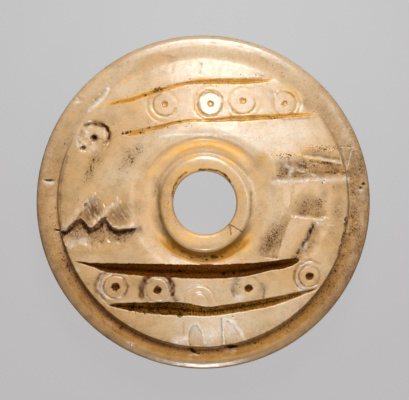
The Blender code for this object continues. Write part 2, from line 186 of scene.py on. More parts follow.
def dome_height(radius):
    """Height of the uncarved dome at a distance from the middle."""
    return CROWN_HEIGHT - DOME_RISE * (radius / FACE_RADIUS) ** 2


def worn_away(radius):
    """How much wear has flattened the dome and rounded it off at its edge and its ledge."""
    share = np.clip((radius - COVE_RADIUS) / (FACE_RADIUS - COVE_RADIUS), 0, 1)
    edge = np.clip((radius - FACE_RADIUS + EDGE_WEAR_WIDTH) / EDGE_WEAR_WIDTH, 0, 1)
    ledge = np.clip((COVE_RADIUS + LEDGE_WEAR_WIDTH - radius) / LEDGE_WEAR_WIDTH, 0, 1)
    return FLAT_WEAR * 4 * share * (1 - share) + EDGE_WEAR * edge ** 2 + LEDGE_WEAR * ledge ** 2


# %% The profile line
LINE_STEP = 0.02


def stroke(start, end, bend="straight"):
    """Points from start to end: straight, or a quarter round that sets out level or steep."""
    count = max(int(hypot(end[0] - start[0], end[1] - start[1]) / LINE_STEP), 2)
    t = np.arange(count) / count
    level, steep = t, t
    if bend == "level":
        level, steep = np.sin(t * pi / 2), 1 - np.cos(t * pi / 2)
    if bend == "steep":
        level, steep = 1 - np.cos(t * pi / 2), np.sin(t * pi / 2)
    across = start[0] + (end[0] - start[0]) * level
    up = start[1] + (end[1] - start[1]) * steep
    return np.column_stack([across, up])


def profile_line():
    """The closed profile as (radius, height), from the bore's foot round to it again."""
    floor = THICKNESS - COVE_DEPTH
    shoulder = THICKNESS - COLLAR_SHOULDER
    flat_start = BORE_RADIUS + COLLAR_FLARE
    flat_end = flat_start + COLLAR_FLAT
    mouth = (BORE_RADIUS + COLLAR_MOUTH, THICKNESS - COLLAR_DISH)
    floor_radius = COLLAR_RADIUS + COVE_FLOOR_OFFSET
    ledge_foot = (COVE_RADIUS - COVE_LEDGE_RUN, dome_height(COVE_RADIUS) - COVE_LEDGE_DROP)
    hollow = dome_height(FACE_RADIUS) - FACE_STEP
    lip_start = WHORL_RADIUS - LIP_WIDTH
    lip = hollow + LIP_SWELL
    lip_bend = (WHORL_RADIUS - LIP_ROUND, lip - LIP_SLOPE)
    wall_foot = (floor + shoulder) / 2
    hollow_radius = FACE_RADIUS + STEP_RUN
    dome = np.arange(COVE_RADIUS, FACE_RADIUS, LINE_STEP)
    worn_dome = dome_height(dome) - worn_away(dome)
    return np.vstack([
        stroke((BORE_RADIUS, BORE_MOUTH), (BORE_RADIUS, THICKNESS - COLLAR_FLARE_DEPTH)),
        stroke((BORE_RADIUS, THICKNESS - COLLAR_FLARE_DEPTH), mouth, "steep"),
        stroke(mouth, (flat_start, THICKNESS)),
        stroke((flat_start, THICKNESS), (flat_end, THICKNESS)),
        stroke((flat_end, THICKNESS), (COLLAR_RADIUS, shoulder), "level"),
        stroke((COLLAR_RADIUS, shoulder), (COLLAR_RADIUS, wall_foot)),
        stroke((COLLAR_RADIUS, wall_foot), (floor_radius, floor), "steep"),
        stroke((floor_radius, floor), ledge_foot, "level"),
        stroke(ledge_foot, (COVE_RADIUS, dome_height(COVE_RADIUS))),
        np.column_stack([dome, worn_dome]),
        stroke((FACE_RADIUS, worn_dome[-1]), (hollow_radius, hollow)),
        stroke((hollow_radius, hollow), (lip_start, lip)),
        stroke((lip_start, lip), lip_bend),
        stroke(lip_bend, (WHORL_RADIUS, lip - LIP_FALL), "level"),
        stroke((WHORL_RADIUS, lip - LIP_FALL), (WHORL_RADIUS, FOOT_ROUND)),
        stroke((WHORL_RADIUS, FOOT_ROUND), (WHORL_RADIUS - FOOT_ROUND, 0), "steep"),
        stroke((WHORL_RADIUS - FOOT_ROUND, 0), (BORE_RADIUS + BORE_MOUTH, 0)),
        stroke((BORE_RADIUS + BORE_MOUTH, 0), (BORE_RADIUS, BORE_MOUTH)),
    ])


def even_spacing(line, step):
    """The closed line again, with its points a step apart."""
    closed = np.vstack([line, line[:1]])
    gaps = np.hypot(*np.diff(closed, axis=0).T)
    travelled = np.concatenate([[0], np.cumsum(gaps)])
    wanted = np.arange(0, travelled[-1], step)
    return np.column_stack([np.interp(wanted, travelled, closed[:, axis]) for axis in (0, 1)])


def worn(line, wear):
    """The closed line with its corners rounded by a bell-shaped average."""
    reach = int(3 * wear / LINE_STEP)
    offsets = np.arange(-reach, reach + 1)
    bell = np.exp(-0.5 * (offsets * LINE_STEP / wear) ** 2)
    bell /= bell.sum()
    return sum(weight * np.roll(line, -offset, axis=0) for offset, weight in zip(offsets, bell))


PROFILE = worn(even_spacing(profile_line(), LINE_STEP), WEAR)
TRAVEL = np.arange(len(PROFILE)) * LINE_STEP
FINE_BORE = 0.6                        # the fine mesh goes this far below the flare
WAIST = 4.0                            # height on the side where the fine mesh ends
FLARE_FOOT = THICKNESS - COLLAR_FLARE_DEPTH - FINE_BORE
top_start = TRAVEL[np.argmax(PROFILE[:, 1] > FLARE_FOOT)]
past_lip = (PROFILE[:, 0] > WHORL_RADIUS - 0.2) & (PROFILE[:, 1] < WAIST)
top_end = TRAVEL[np.argmax(past_lip)]
print("profile:", len(PROFILE), "points,", round(TRAVEL[-1], 1), "mm long")

# %% [markdown]
# ## Reading the carving
#
# A knife cut is a row of stations. Each gives the two lips of the cut and how deep
# it is there. Between stations a smooth curve runs, and between the lips the cut
# falls to its bottom, which lies nearer to one of them, because a knife is held
# leaning. Places are shares of the face's radius, so they read as on a drawing.

# %% Helpers for shaping


def ease(start, end, value):
    """0 before start, 1 after end, and a smooth rise between them."""
    t = np.clip((value - start) / (end - start), 0, 1)
    return t * t * (3 - 2 * t)


def window(value, start, full, full_end, end):
    """0 outside start and end, 1 between the two inner limits, and smooth between."""
    return ease(start, full, value) * ease(end, full_end, value)


def from_top(across, up, lean=0):
    """Degrees, either way, from the picture's top or from a line that leans off it."""
    return np.abs(np.degrees(np.arctan2(across, up)) + lean)


def soft_min(a, b, softness):
    """The smaller value, with the corner where they meet rounded."""
    t = np.clip(0.5 + 0.5 * (b - a) / softness, 0, 1)
    return b + (a - b) * t - softness * t * (1 - t)


RIPPLE_GRID = 256                      # a ripple repeats after this many lumps


def ripple(x, y, size, seed):
    """Smooth random values from -1 to 1, in lumps of about the given size in mm."""
    grid = np.random.default_rng(seed).uniform(-1, 1, (RIPPLE_GRID, RIPPLE_GRID))
    u, v = x / size, y / size
    column, row = np.floor(u).astype(int), np.floor(v).astype(int)
    s, t = ease(0, 1, u - column), ease(0, 1, v - row)
    left, right = column % RIPPLE_GRID, (column + 1) % RIPPLE_GRID
    low, high = row % RIPPLE_GRID, (row + 1) % RIPPLE_GRID
    below = grid[low, left] * (1 - s) + grid[low, right] * s
    above = grid[high, left] * (1 - s) + grid[high, right] * s
    return below * (1 - t) + above * t


def off_line(x, y, points):
    """Distance to a broken line, and how far along it the nearest point lies (0 to 1)."""
    points = np.array(points, float)
    nearest = np.full(x.shape, np.inf)
    along = np.zeros(x.shape)
    last = len(points) - 1
    for index in range(last):
        start, run = points[index], points[index + 1] - points[index]
        t = ((x - start[0]) * run[0] + (y - start[1]) * run[1]) / (run @ run)
        t = np.clip(t, 0, 1)
        gap = np.hypot(x - start[0] - t * run[0], y - start[1] - t * run[1])
        closer = gap < nearest
        nearest[closer] = gap[closer]
        along[closer] = (index + t[closer]) / last
    return nearest, along


# %% One knife cut
SPANS = 6
SOFT_LIP = 0.03
SOFT_BOTTOM = 0.15
MARGIN = 0.4                           # how far round a cut points are looked at, in mm


def smooth_rows(stations):
    """More stations, on one smooth curve through the given ones."""
    rows = np.array(stations, float)
    padded = np.vstack([rows[:1], rows, rows[-1:]])
    t = (np.arange(SPANS) / SPANS)[:, None]
    result = []
    for index in range(len(rows) - 1):
        before, start, end, after = padded[index:index + 4]
        slope_in, slope_out = (end - before) / 2, (after - start) / 2
        lean = 3 * (end - start) - 2 * slope_in - slope_out
        bend = 2 * (start - end) + slope_in + slope_out
        result.append(start + slope_in * t + lean * t ** 2 + bend * t ** 3)
    return np.vstack(result + [rows[-1:]])


def side_of(start, end, x, y):
    """Signed distance from the line through two points."""
    run = end - start
    return (run[0] * (y - start[1]) - run[1] * (x - start[0])) / np.hypot(*run)


def knife_cut(x, y, stations, bottom, depth, fade=1.0, drop=1.0):
    """How deep one knife cut goes at each place, in mm.

    A fade over 1 blurs its far lip, and a drop under 1 makes its near wall steeper.
    """
    rows = smooth_rows(stations)
    near, far = rows[:, 0:2] * FACE_RADIUS, rows[:, 2:4] * FACE_RADIUS
    share = np.clip(rows[:, 4], 0, None)
    corners = np.vstack([near, far])
    low, high = corners.min(axis=0) - MARGIN, corners.max(axis=0) + MARGIN
    close = (x > low[0]) & (x < high[0]) & (y > low[1]) & (y < high[1])
    px, py = x[close], y[close]
    taken = np.zeros(px.shape)
    for index in range(len(rows) - 1):
        ahead = (near[index + 1] + far[index + 1]) / 2
        turn = np.sign(side_of(near[index], far[index], ahead[0], ahead[1]))
        start = side_of(near[index], far[index], px, py) * turn
        end = side_of(near[index + 1], far[index + 1], px, py) * turn
        inside = (start >= 0) & (end < 0)
        t = (start[inside] / (start[inside] - end[inside]))[:, None]
        first = near[index] + (near[index + 1] - near[index]) * t
        run = far[index] + (far[index + 1] - far[index]) * t - first
        from_first = np.column_stack([px[inside], py[inside]]) - first
        across = (from_first * run).sum(1) / (run * run).sum(1)
        here = depth * (share[index] + (share[index + 1] - share[index]) * t[:, 0])
        far_slope = (np.clip(1 - across, 0, 1) / (1 - bottom)) ** fade
        near_slope = np.sign(across) * np.abs(across / bottom) ** drop
        wall = soft_min(near_slope, far_slope, SOFT_BOTTOM) * here
        taken[inside] = np.maximum(-soft_min(-wall, 0 * wall, SOFT_LIP), 0)
    result = np.zeros(x.shape)
    result[close] = taken
    return result


# %% [markdown]
# ### The cuts
#
# Two long grooves cross the face, and each holds a band of ring-and-dots between
# its edges. At the left two leaf-shaped facets end in a scooped line. At the right
# a recess steps down in ledges, and slanting strips run down to the lower band.
# Small facets and nicks sit near the edge. The long grooves are kept apart, because
# soil and painted shadow darken them and wear has rounded their far lips.

# %% The long grooves
# Each station: near lip across and up, far lip across and up, and share of the depth.
UPPER_BAND_TOP = (
    (-0.722, 0.660, -0.715, 0.653, 0.0),
    (-0.639, 0.694, -0.625, 0.669, 0.5),
    (-0.507, 0.723, -0.493, 0.694, 1.0),
    (-0.403, 0.760, -0.389, 0.728, 1.0),
    (-0.140, 0.823, -0.133, 0.803, 0.5),
    (-0.030, 0.850, -0.025, 0.815, 0.8),
    (0.324, 0.852, 0.324, 0.815, 1.0),
    (0.511, 0.855, 0.511, 0.847, 0.0),
)
UPPER_BAND_FOOT = (
    (-0.563, 0.466, -0.556, 0.458, 0.0),
    (-0.507, 0.489, -0.493, 0.458, 0.8),
    (-0.378, 0.518, -0.369, 0.487, 0.9),
    (-0.140, 0.569, -0.133, 0.546, 0.6),
    (0.012, 0.579, 0.012, 0.548, 0.6),
    (0.310, 0.600, 0.310, 0.557, 1.0),
    (0.636, 0.617, 0.636, 0.583, 0.8),
    (0.823, 0.617, 0.823, 0.609, 0.0),
)
LOWER_BAND_TOP = (
    (-0.909, -0.401, -0.895, -0.415, 0.0),
    (-0.780, -0.418, -0.764, -0.450, 0.4),
    (-0.660, -0.420, -0.650, -0.490, 0.8),
    (-0.369, -0.426, -0.356, -0.516, 1.0),
    (0.019, -0.430, 0.019, -0.532, 1.0),
    (0.300, -0.422, 0.280, -0.516, 1.0),
    (0.470, -0.408, 0.449, -0.477, 0.9),
    (0.567, -0.394, 0.581, -0.455, 0.7),
    (0.664, -0.376, 0.678, -0.408, 0.0),
)
LOWER_BAND_FOOT = (
    (-0.681, -0.703, -0.667, -0.717, 0.0),
    (-0.577, -0.696, -0.563, -0.744, 0.6),
    (-0.369, -0.690, -0.356, -0.778, 1.0),
    (-0.140, -0.694, -0.130, -0.790, 1.0),
    (0.024, -0.720, 0.026, -0.793, 0.9),
    (0.161, -0.706, 0.165, -0.778, 1.0),
    (0.463, -0.658, 0.477, -0.722, 0.8),
    (0.716, -0.604, 0.723, -0.633, 0.4),
    (0.802, -0.583, 0.809, -0.594, 0.0),
)
print("stations of the long grooves:", len(UPPER_BAND_TOP + UPPER_BAND_FOOT
                                           + LOWER_BAND_TOP + LOWER_BAND_FOOT))

# %% Teeth, scoops and ledges
LEFT_TOOTH = (
    (-0.965, -0.186, -0.771, -0.186, 1.0),
    (-0.909, -0.121, -0.722, -0.117, 1.0),
    (-0.840, -0.048, -0.674, -0.034, 0.8),
    (-0.784, 0.008, -0.660, 0.015, 0.5),
    (-0.729, 0.063, -0.646, 0.042, 0.0),
)
RIGHT_TOOTH = (
    (-0.757, -0.166, -0.480, -0.166, 1.0),
    (-0.708, -0.110, -0.493, -0.096, 1.0),
    (-0.646, -0.055, -0.500, -0.034, 0.7),
    (-0.597, -0.006, -0.521, 0.001, 0.4),
    (-0.563, 0.035, -0.528, 0.015, 0.0),
)
TOOTH_SCOOP = (
    (-1.006, -0.190, -0.979, -0.263, 0.2),
    (-0.972, -0.197, -0.951, -0.304, 0.8),
    (-0.937, -0.176, -0.923, -0.325, 1.0),
    (-0.895, -0.128, -0.881, -0.339, 1.0),
    (-0.854, -0.100, -0.847, -0.346, 0.9),
    (-0.826, -0.121, -0.819, -0.346, 1.0),
    (-0.798, -0.155, -0.791, -0.346, 1.0),
    (-0.771, -0.173, -0.764, -0.346, 0.9),
    (-0.736, -0.141, -0.729, -0.339, 1.0),
    (-0.708, -0.110, -0.701, -0.332, 1.0),
    (-0.681, -0.093, -0.674, -0.325, 0.9),
    (-0.660, -0.124, -0.653, -0.318, 1.0),
    (-0.632, -0.166, -0.625, -0.311, 1.0),
    (-0.584, -0.183, -0.584, -0.304, 0.95),
    (-0.528, -0.179, -0.528, -0.283, 0.8),
    (-0.480, -0.173, -0.480, -0.242, 0.5),
    (-0.438, -0.166, -0.438, -0.186, 0.0),
)
RIGHT_SCOOP = (
    (0.449, 0.132, 0.470, 0.306, 0.0),
    (0.532, 0.139, 0.539, 0.333, 0.55),
    (0.615, 0.143, 0.615, 0.340, 0.9),
    (0.699, 0.146, 0.699, 0.333, 1.0),
    (0.823, 0.153, 0.796, 0.319, 1.0),
    (0.934, 0.160, 0.906, 0.299, 0.9),
    (1.031, 0.167, 1.024, 0.271, 0.6),
)
RIGHT_UPPER_LEDGE = (
    (0.685, 0.313, 0.678, 0.371, 0.3),
    (0.761, 0.302, 0.747, 0.392, 0.9),
    (0.851, 0.288, 0.837, 0.389, 1.0),
    (0.955, 0.271, 0.927, 0.368, 0.8),
)
RIGHT_LOWER_LEDGE = (
    (0.615, 0.243, 0.602, 0.313, 0.3),
    (0.664, 0.226, 0.664, 0.306, 1.0),
    (0.712, 0.209, 0.712, 0.292, 0.9),
    (0.782, 0.181, 0.782, 0.257, 0.3),
)
CROSS_SCOOP = (
    (0.588, -0.096, 0.615, 0.070, 0.1),
    (0.650, -0.105, 0.664, 0.091, 0.8),
    (0.719, -0.114, 0.733, 0.105, 1.0),
    (0.796, -0.121, 0.816, 0.105, 1.0),
    (0.865, -0.121, 0.872, 0.084, 0.1),
)
print("stations of the teeth and their scoop:", len(LEFT_TOOTH + RIGHT_TOOTH + TOOTH_SCOOP))

# %% Strips, facets and nicks
LONG_STRIP = (
    (0.560, -0.041, 0.636, -0.069, 0.1),
    (0.505, -0.131, 0.588, -0.166, 0.8),
    (0.449, -0.242, 0.553, -0.277, 1.0),
    (0.373, -0.374, 0.518, -0.394, 0.9),
)
SHORT_STRIP = (
    (0.761, -0.138, 0.844, -0.145, 0.4),
    (0.726, -0.221, 0.844, -0.235, 1.0),
    (0.678, -0.304, 0.809, -0.332, 1.0),
    (0.629, -0.401, 0.775, -0.415, 0.8),
)
WORN_LONG_STRIP = (
    (-0.369, 0.382, -0.521, 0.368, 0.6),
    (-0.466, 0.222, -0.570, 0.236, 1.0),
    (-0.577, 0.042, -0.625, 0.112, 0.3),
)
WORN_SHORT_STRIP = (
    (-0.632, 0.389, -0.757, 0.382, 0.6),
    (-0.694, 0.271, -0.784, 0.271, 1.0),
    (-0.757, 0.153, -0.826, 0.167, 0.3),
)
BASE_TONGUE = (
    (-0.078, -0.842, -0.060, -0.850, 0.3),
    (-0.108, -0.905, -0.010, -0.900, 1.0),
    (-0.108, -0.990, 0.005, -1.000, 1.0),
)
BASE_TRIANGLE = (
    (0.146, -0.812, 0.165, -0.815, 0.4),
    (0.147, -0.900, 0.225, -0.900, 1.0),
    (0.148, -0.990, 0.295, -0.975, 1.0),
)
RIGHT_FACET = (
    (1.040, 0.160, 0.900, 0.150, 0.0),
    (1.040, 0.000, 0.850, -0.020, 0.8),
    (1.030, -0.200, 0.840, -0.200, 1.0),
    (0.970, -0.380, 0.845, -0.360, 0.8),
    (0.900, -0.530, 0.870, -0.500, 0.0),
)
LEFT_FACET = (
    (-1.000, 0.340, -0.900, 0.320, 0.0),
    (-1.040, 0.200, -0.850, 0.200, 0.8),
    (-1.040, 0.050, -0.850, 0.050, 0.9),
    (-1.030, -0.120, -0.920, -0.100, 0.0),
)
NICKS = {
    "left": ((-1.113, 0.158, -1.112, 0.146, 0.2), (-1.067, 0.163, -1.065, 0.132, 1.0),
             (-1.025, 0.156, -1.023, 0.146, 0.2)),
    "upper_left": ((-0.912, 0.714, -0.912, 0.700, 0.2), (-0.869, 0.732, -0.869, 0.694, 0.3),
                   (-0.826, 0.721, -0.826, 0.707, 0.2)),
    "left_low": ((-1.037, -0.184, -1.037, -0.194, 0.2), (-1.010, -0.186, -1.012, -0.206, 1.0),
                 (-0.985, -0.194, -0.985, -0.206, 0.4)),
    "base_left": ((-0.109, -0.997, -0.107, -1.004, 0.3), (-0.070, -1.004, -0.080, -1.042, 1.0),
                  (-0.026, -1.048, -0.030, -1.060, 0.2)),
    "base_right": ((0.123, -0.987, 0.125, -0.995, 0.3), (0.185, -0.982, 0.187, -1.014, 1.0),
                   (0.245, -0.998, 0.243, -1.008, 0.2)),
}
print("nicks:", len(NICKS))

# %% How each cut is shaped
# Stations, where its bottom lies between the lips, depth in mm, fade and drop.
GROOVES = {
    "upper_band_top": (UPPER_BAND_TOP, 0.6, 0.2, 1.2),
    "upper_band_foot": (UPPER_BAND_FOOT, 0.55, 0.2, 1.2),
    "lower_band_top": (LOWER_BAND_TOP, 0.68, 1.05, 1.0, 0.5),
    "lower_band_foot": (LOWER_BAND_FOOT, 0.6, 0.9, 1.1, 0.5),
}
CARVING = {
    "tooth_scoop": (TOOTH_SCOOP, 0.2, 1.4, 1.7),
    "left_tooth": (LEFT_TOOTH, 0.2, 0.34, 1.3),
    "right_tooth": (RIGHT_TOOTH, 0.16, 0.34, 1.3),
    "right_scoop": (RIGHT_SCOOP, 0.24, 0.6, 1.5),
    "right_upper_ledge": (RIGHT_UPPER_LEDGE, 0.2, 0.34, 1.5),
    "right_lower_ledge": (RIGHT_LOWER_LEDGE, 0.25, 0.6, 1.5),
    "cross_scoop": (CROSS_SCOOP, 0.1, 0.38, 2.0),
    "long_strip": (LONG_STRIP, 0.84, 0.34, 1.0),
    "short_strip": (SHORT_STRIP, 0.2, 0.45, 1.8),
    "worn_long_strip": (WORN_LONG_STRIP, 0.3, 0.1, 1.5),
    "worn_short_strip": (WORN_SHORT_STRIP, 0.3, 0.1, 1.5),
    "base_tongue": (BASE_TONGUE, 0.12, 0.28, 1.0),
    "base_triangle": (BASE_TRIANGLE, 0.08, 0.30, 1.0),
    "right_facet": (RIGHT_FACET, 0.01, 0.2, 1.0),
    "left_facet": (LEFT_FACET, 0.01, 0.2, 1.0),
}
NICK_BOTTOM = 0.4
NICK_DEPTH = 0.4
print("knife cuts:", len(GROOVES) + len(CARVING) + len(NICKS))

# %% [markdown]
# ### The ring-and-dots
#
# A compass drill with a point and two teeth makes a dot and two rings in one turn.
# It was held by hand, so some rings are deep on one side and fade on the other.
# Each motif therefore says which way its rings are deepest. Below the bore the
# rings are deeper and crumble more, and the last motif there was cut half away.

# %% Ropes of bone
# The knife pushed up a rope of bone beside some cuts: points in mm, width, height.
ROPES = (
    (((-17.8, -3.4), (-16.8, -2.4), (-15.8, -1.3), (-14.8, -0.3), (-13.9, 0.5),
      (-13.3, 1.0)), 0.46, 0.20),
    (((-14.0, -3.0), (-13.0, -2.0), (-12.1, -1.1), (-11.3, -0.5), (-10.4, 0.4)), 0.48, 0.24),
    (((-12.5, -2.1), (-12.0, -2.6), (-11.4, -3.1), (-10.5, -3.2), (-9.5, -3.2),
      (-8.3, -3.0)), 0.3, 0.12),
    (((8.7, 2.6), (9.9, 2.6), (11.6, 2.7), (13.8, 2.8), (15.7, 2.8), (18.0, 3.0)), 0.36, 0.10),
    (((12.6, 5.9), (13.9, 5.5), (15.4, 5.2), (17.3, 4.9)), 0.18, 0.06),
    (((11.0, 4.1), (11.8, 4.2), (12.7, 3.8), (14.1, 3.3)), 0.13, 0.09),
    (((11.4, -1.8), (12.8, -2.1), (14.1, -2.2), (15.4, -2.2)), 0.13, 0.06),
    (((-14.3, 11.4), (-13.0, 12.7), (-11.8, 14.3)), 0.18, 0.12),
    (((2.7, -14.6), (3.9, -15.2), (4.7, -16.3), (5.3, -17.3)), 0.16, 0.08),
    (((2.7, -14.6), (2.6, -16.3), (2.7, -17.8)), 0.13, 0.07),
    (((-1.9, -17.8), (-2.0, -16.6), (-1.6, -15.6), (-0.8, -15.3)), 0.14, 0.07),
    (((-0.8, -15.3), (-0.2, -16.2), (0.1, -17.7)), 0.13, 0.05),
)


def ropes(x, y):
    """Height of the lumpy ropes."""
    height = np.zeros(x.shape)
    for number, (points, width, amount) in enumerate(ROPES):
        gap, along = off_line(x + 0.08 * ripple(x, y, 0.4, 120), y, points)
        lumps = 0.7 + 0.35 * ripple(x, y, 0.34, 121 + number) + 0.25 * ripple(x, y, 0.8, 131 + number)
        ends = window(along, 0, 0.08, 0.92, 1)
        height = np.maximum(height, amount * lumps * ends * np.exp(-(gap / width) ** 2))
    return height


print("ropes of bone:", len(ROPES))

# %% Ring-and-dots
RING_WIDTH = 0.24
DOT_RADIUS = 0.52
DOT_DEPTH = 0.6
# Across and up as shares of the face's radius, inner and outer ring in mm, depth
# of both, and the way (degrees, from the right and up) in which they are deepest.
MOTIFS = (
    (-0.265, 0.676, 1.56, 2.27, 0.05, 0.04, 200),
    (0.049, 0.680, 1.60, 2.12, 0.10, 0.05, 180),
    (0.274, 0.699, 1.66, 2.40, 0.06, 0.03, 265),
    (0.563, 0.680, 1.48, 2.05, 0.05, 0.06, 10),
    (-0.608, -0.588, 1.50, 2.14, 0.20, 0.24, 160),
    (-0.317, -0.608, 1.52, 2.00, 0.18, 0.30, 60),
    (0.312, -0.593, 1.62, 2.10, 0.10, 0.16, 170),
    (0.734, -0.511, 1.32, 1.86, 0.20, 0.18, 190),
)
# Shake of the rings in mm, the outer ring's width over the inner one's, size of the dots.
ABOVE_BORE = (0.03, 1.0, 0.7)
BELOW_BORE = (0.05, 1.5, 1.0)


def compass_ring(distance, radius, width, depth):
    """Rounded ring groove at a distance from the drill's point."""
    return depth * np.exp(-((distance - radius) / (width / 2)) ** 2)


def ring_and_dots(x, y):
    """Depth of all the motifs, and masks of their dots and of their rings."""
    depth = np.zeros(x.shape)
    dots = np.zeros(x.shape)
    rings_drawn = np.zeros(x.shape)
    for number, (across, up, inner, outer, inner_depth, outer_depth, way) in enumerate(MOTIFS):
        dx, dy = x - across * FACE_RADIUS, y - up * FACE_RADIUS
        crumbly, widening, share = ABOVE_BORE if up > 0 else BELOW_BORE
        coarse, fine = ripple(x, y, 0.45, 40 + number), ripple(x, y, 0.22, 50 + number)
        shake = crumbly * (coarse + 0.6 * fine)
        distance = np.hypot(dx, dy) + shake
        lean = np.cos(np.arctan2(dy, dx) - radians(way))
        ring = compass_ring(distance, inner, RING_WIDTH, inner_depth * (0.75 + 0.35 * lean))
        second = compass_ring(distance, outer, widening * RING_WIDTH,
                              outer_depth * (0.6 + 0.5 * lean))
        uneven = 0.75 + 0.35 * ripple(x, y, 0.7, 60 + number)
        rings = np.maximum(ring, second) * uneven
        drawn = np.maximum(compass_ring(distance, inner, 0.4, 0.75 + 0.25 * lean),
                           compass_ring(distance, outer, 0.4, 0.35 + 0.5 * lean))
        rings_drawn = np.maximum(rings_drawn, drawn * uneven)
        dot = ease(share * DOT_RADIUS + 0.07, share * DOT_RADIUS - 0.10, distance + shake)
        bowl = share ** 2 * DOT_DEPTH * dot * (1 - 0.25 * np.clip(distance / DOT_RADIUS, 0, 1) ** 2)
        depth = np.maximum(depth, np.maximum(rings, bowl))
        dots = np.maximum(dots, dot)
    return depth, dots, rings_drawn


print("ring-and-dots:", len(MOTIFS))

# %% Worn half ring and the eye
WORN_RING_PLACE = (-0.029, -0.683)
WORN_RINGS = ((0.95, 0.12), (1.90, 0.16))
EYE_PLACE = (-0.759, 0.441)
EYE_RING = 2.04
EYE_DEEPEST = 48                       # degrees from the right and up
EYE_PIT = (-15.06, 6.82)
EYE_CRACK = ((-13.81, 8.02), (-13.2, 7.95), (-12.67, 7.77))


def worn_rings(x, y):
    """The two arcs left of the motif whose lower half was cut away."""
    dx, dy = x - WORN_RING_PLACE[0] * FACE_RADIUS, y - WORN_RING_PLACE[1] * FACE_RADIUS
    distance = np.hypot(dx, dy) + 0.03 * ripple(x, y, 0.5, 71)
    rings = [compass_ring(distance, radius, RING_WIDTH, depth) for radius, depth in WORN_RINGS]
    return np.maximum(*rings) * ease(-0.5, 0.4, dy)


def eye(x, y):
    """The sunk, lumpy disc at the left, with its dark rim, dot and second pit."""
    dx, dy = x - EYE_PLACE[0] * FACE_RADIUS, y - EYE_PLACE[1] * FACE_RADIUS
    distance = np.hypot(dx, dy) + 0.05 * ripple(x, y, 0.6, 72)
    way = np.arctan2(dy, dx)
    deepest = np.clip(np.cos(way - radians(EYE_DEEPEST)), -0.3, 1)
    ring = compass_ring(distance, EYE_RING, 0.4, 0.12 + 0.22 * deepest)
    inside = ease(EYE_RING + 0.1, EYE_RING - 0.3, distance)
    floor = inside * (0.14 + 0.05 * ripple(x, y, 0.45, 73) + 0.03 * ripple(x, y, 0.22, 74))
    dot = 0.75 * ease(0.52, 0.32, distance)
    pit = 0.4 * ease(0.42, 0.12, np.hypot(x - EYE_PIT[0], y - EYE_PIT[1]))
    gap, _ = off_line(x, y, EYE_CRACK)
    crack = 0.3 * ease(0.16, 0.03, gap)
    return np.maximum.reduce([ring, floor, dot, pit, crack])


# %% [markdown]
# ### Scars and tool marks
#
# Years of use left pits and hairline cracks. Along the facets the knife left fine
# parallel ridges. They are in the mesh where the camera can see their shape, and the
# finest ones are left to the material's bump.

# %% Pits, cracks and tool marks
PITS = (                               # across, up, radius and depth in mm
    (20.20, 2.28, 0.30, 0.35), (19.80, 1.75, 0.34, 0.35), (15.11, 2.66, 0.18, 0.2),
    (10.06, 15.71, 0.45, 0.12), (8.93, 13.63, 0.40, 0.08), (18.25, -9.5, 0.3, 0.2),
    (-15.7, 13.0, 0.3, 0.1), (-12.8, 13.6, 0.28, 0.12), (-13.6, 12.9, 0.25, 0.12),
    (-12.0, 14.3, 0.22, 0.12), (-8.9, -17.7, 0.3, 0.12),
)
CRACKS = (                             # points in mm, width and depth
    (((3.25, -2.84), (4.0, -3.2), (4.73, -3.63)), 0.07, 0.02),
    (((3.3, -2.9), (3.45, -3.5), (3.51, -4.09)), 0.06, 0.02),
    (((17.4, 6.95), (18.2, 3.8)), 0.14, 0.10),
    (((18.76, 6.95), (18.1, 3.8)), 0.14, 0.12),
    (((15.6, 6.95), (18.76, 6.95)), 0.14, 0.06),
    (((-9.6, -17.5), (-9.0, -17.9), (-8.5, -17.7)), 0.18, 0.12),
    (((-3.7, 17.6), (-4.1, 15.8)), 0.4, 0.02),
    (((-0.2, 17.5), (-0.6, 16.0)), 0.3, 0.03),
)
STRIATIONS = (                         # middle, reach, direction, spacing, height
    ((-13.7, -0.9), 2.0, 112, 0.30, 0.10),
    ((-10.5, -1.3), 2.0, 115, 0.30, 0.07),
    ((-13.2, -4.8), 4.2, 94, 0.5, 0.035),
    ((13.3, 3.9), 3.2, 175, 0.45, 0.03),
    ((13.8, -0.9), 2.2, 98, 0.4, 0.035),
    ((8.6, -4.2), 3.0, 62, 0.4, 0.02),
    ((14.6, -4.6), 2.4, 65, 0.4, 0.03),
    ((1.2, -16.3), 1.5, 2, 0.32, 0.012),
)
print("scars:", len(PITS), "pits,", len(CRACKS), "cracks,", len(STRIATIONS), "patches of ridges")


def scars(x, y):
    """Depth of the pits and cracks."""
    depth = np.zeros(x.shape)
    for number, (across, up, radius, deep) in enumerate(PITS):
        gap = np.hypot(x - across, y - up) + 0.08 * ripple(x, y, 0.3, 80 + number)
        depth = np.maximum(depth, deep * ease(radius, radius * 0.3, gap))
    for points, width, deep in CRACKS:
        gap, along = off_line(x, y, points)
        ends = window(along, 0, 0.15, 0.85, 1)
        depth = np.maximum(depth, deep * ends * ease(width, 0, gap + 0.02 * ripple(x, y, 0.3, 95)))
    return depth


def striations(x, y):
    """Height of the fine ridges that the knife left along its facets."""
    height = np.zeros(x.shape)
    for number, (middle, reach, direction, spacing, amount) in enumerate(STRIATIONS):
        turn = radians(direction)
        dx, dy = x - middle[0], y - middle[1]
        across = dy * cos(turn) - dx * sin(turn)
        along = dx * cos(turn) + dy * sin(turn)
        uneven = ripple(across, along * 0.25, spacing * 0.6, 100 + number)
        there = ease(reach, reach * 0.5, np.hypot(dx, dy))
        height += amount * there * uneven
    return height


# %% [markdown]
# ## From profile to surface
#
# The upper surface is worked out on a honeycomb of points laid flat, where the
# distance from the middle is the distance travelled along the profile. Steep walls
# so get as many points as flat ground. Every point is lifted to its place, lowered
# by the deepest cut over it, and then tested for how sharply the surface bends
# there. The whole honeycomb would be far too heavy, so only the busiest places keep
# all of its points. The next keep every second row and column, and the smooth field
# keeps every fourth.

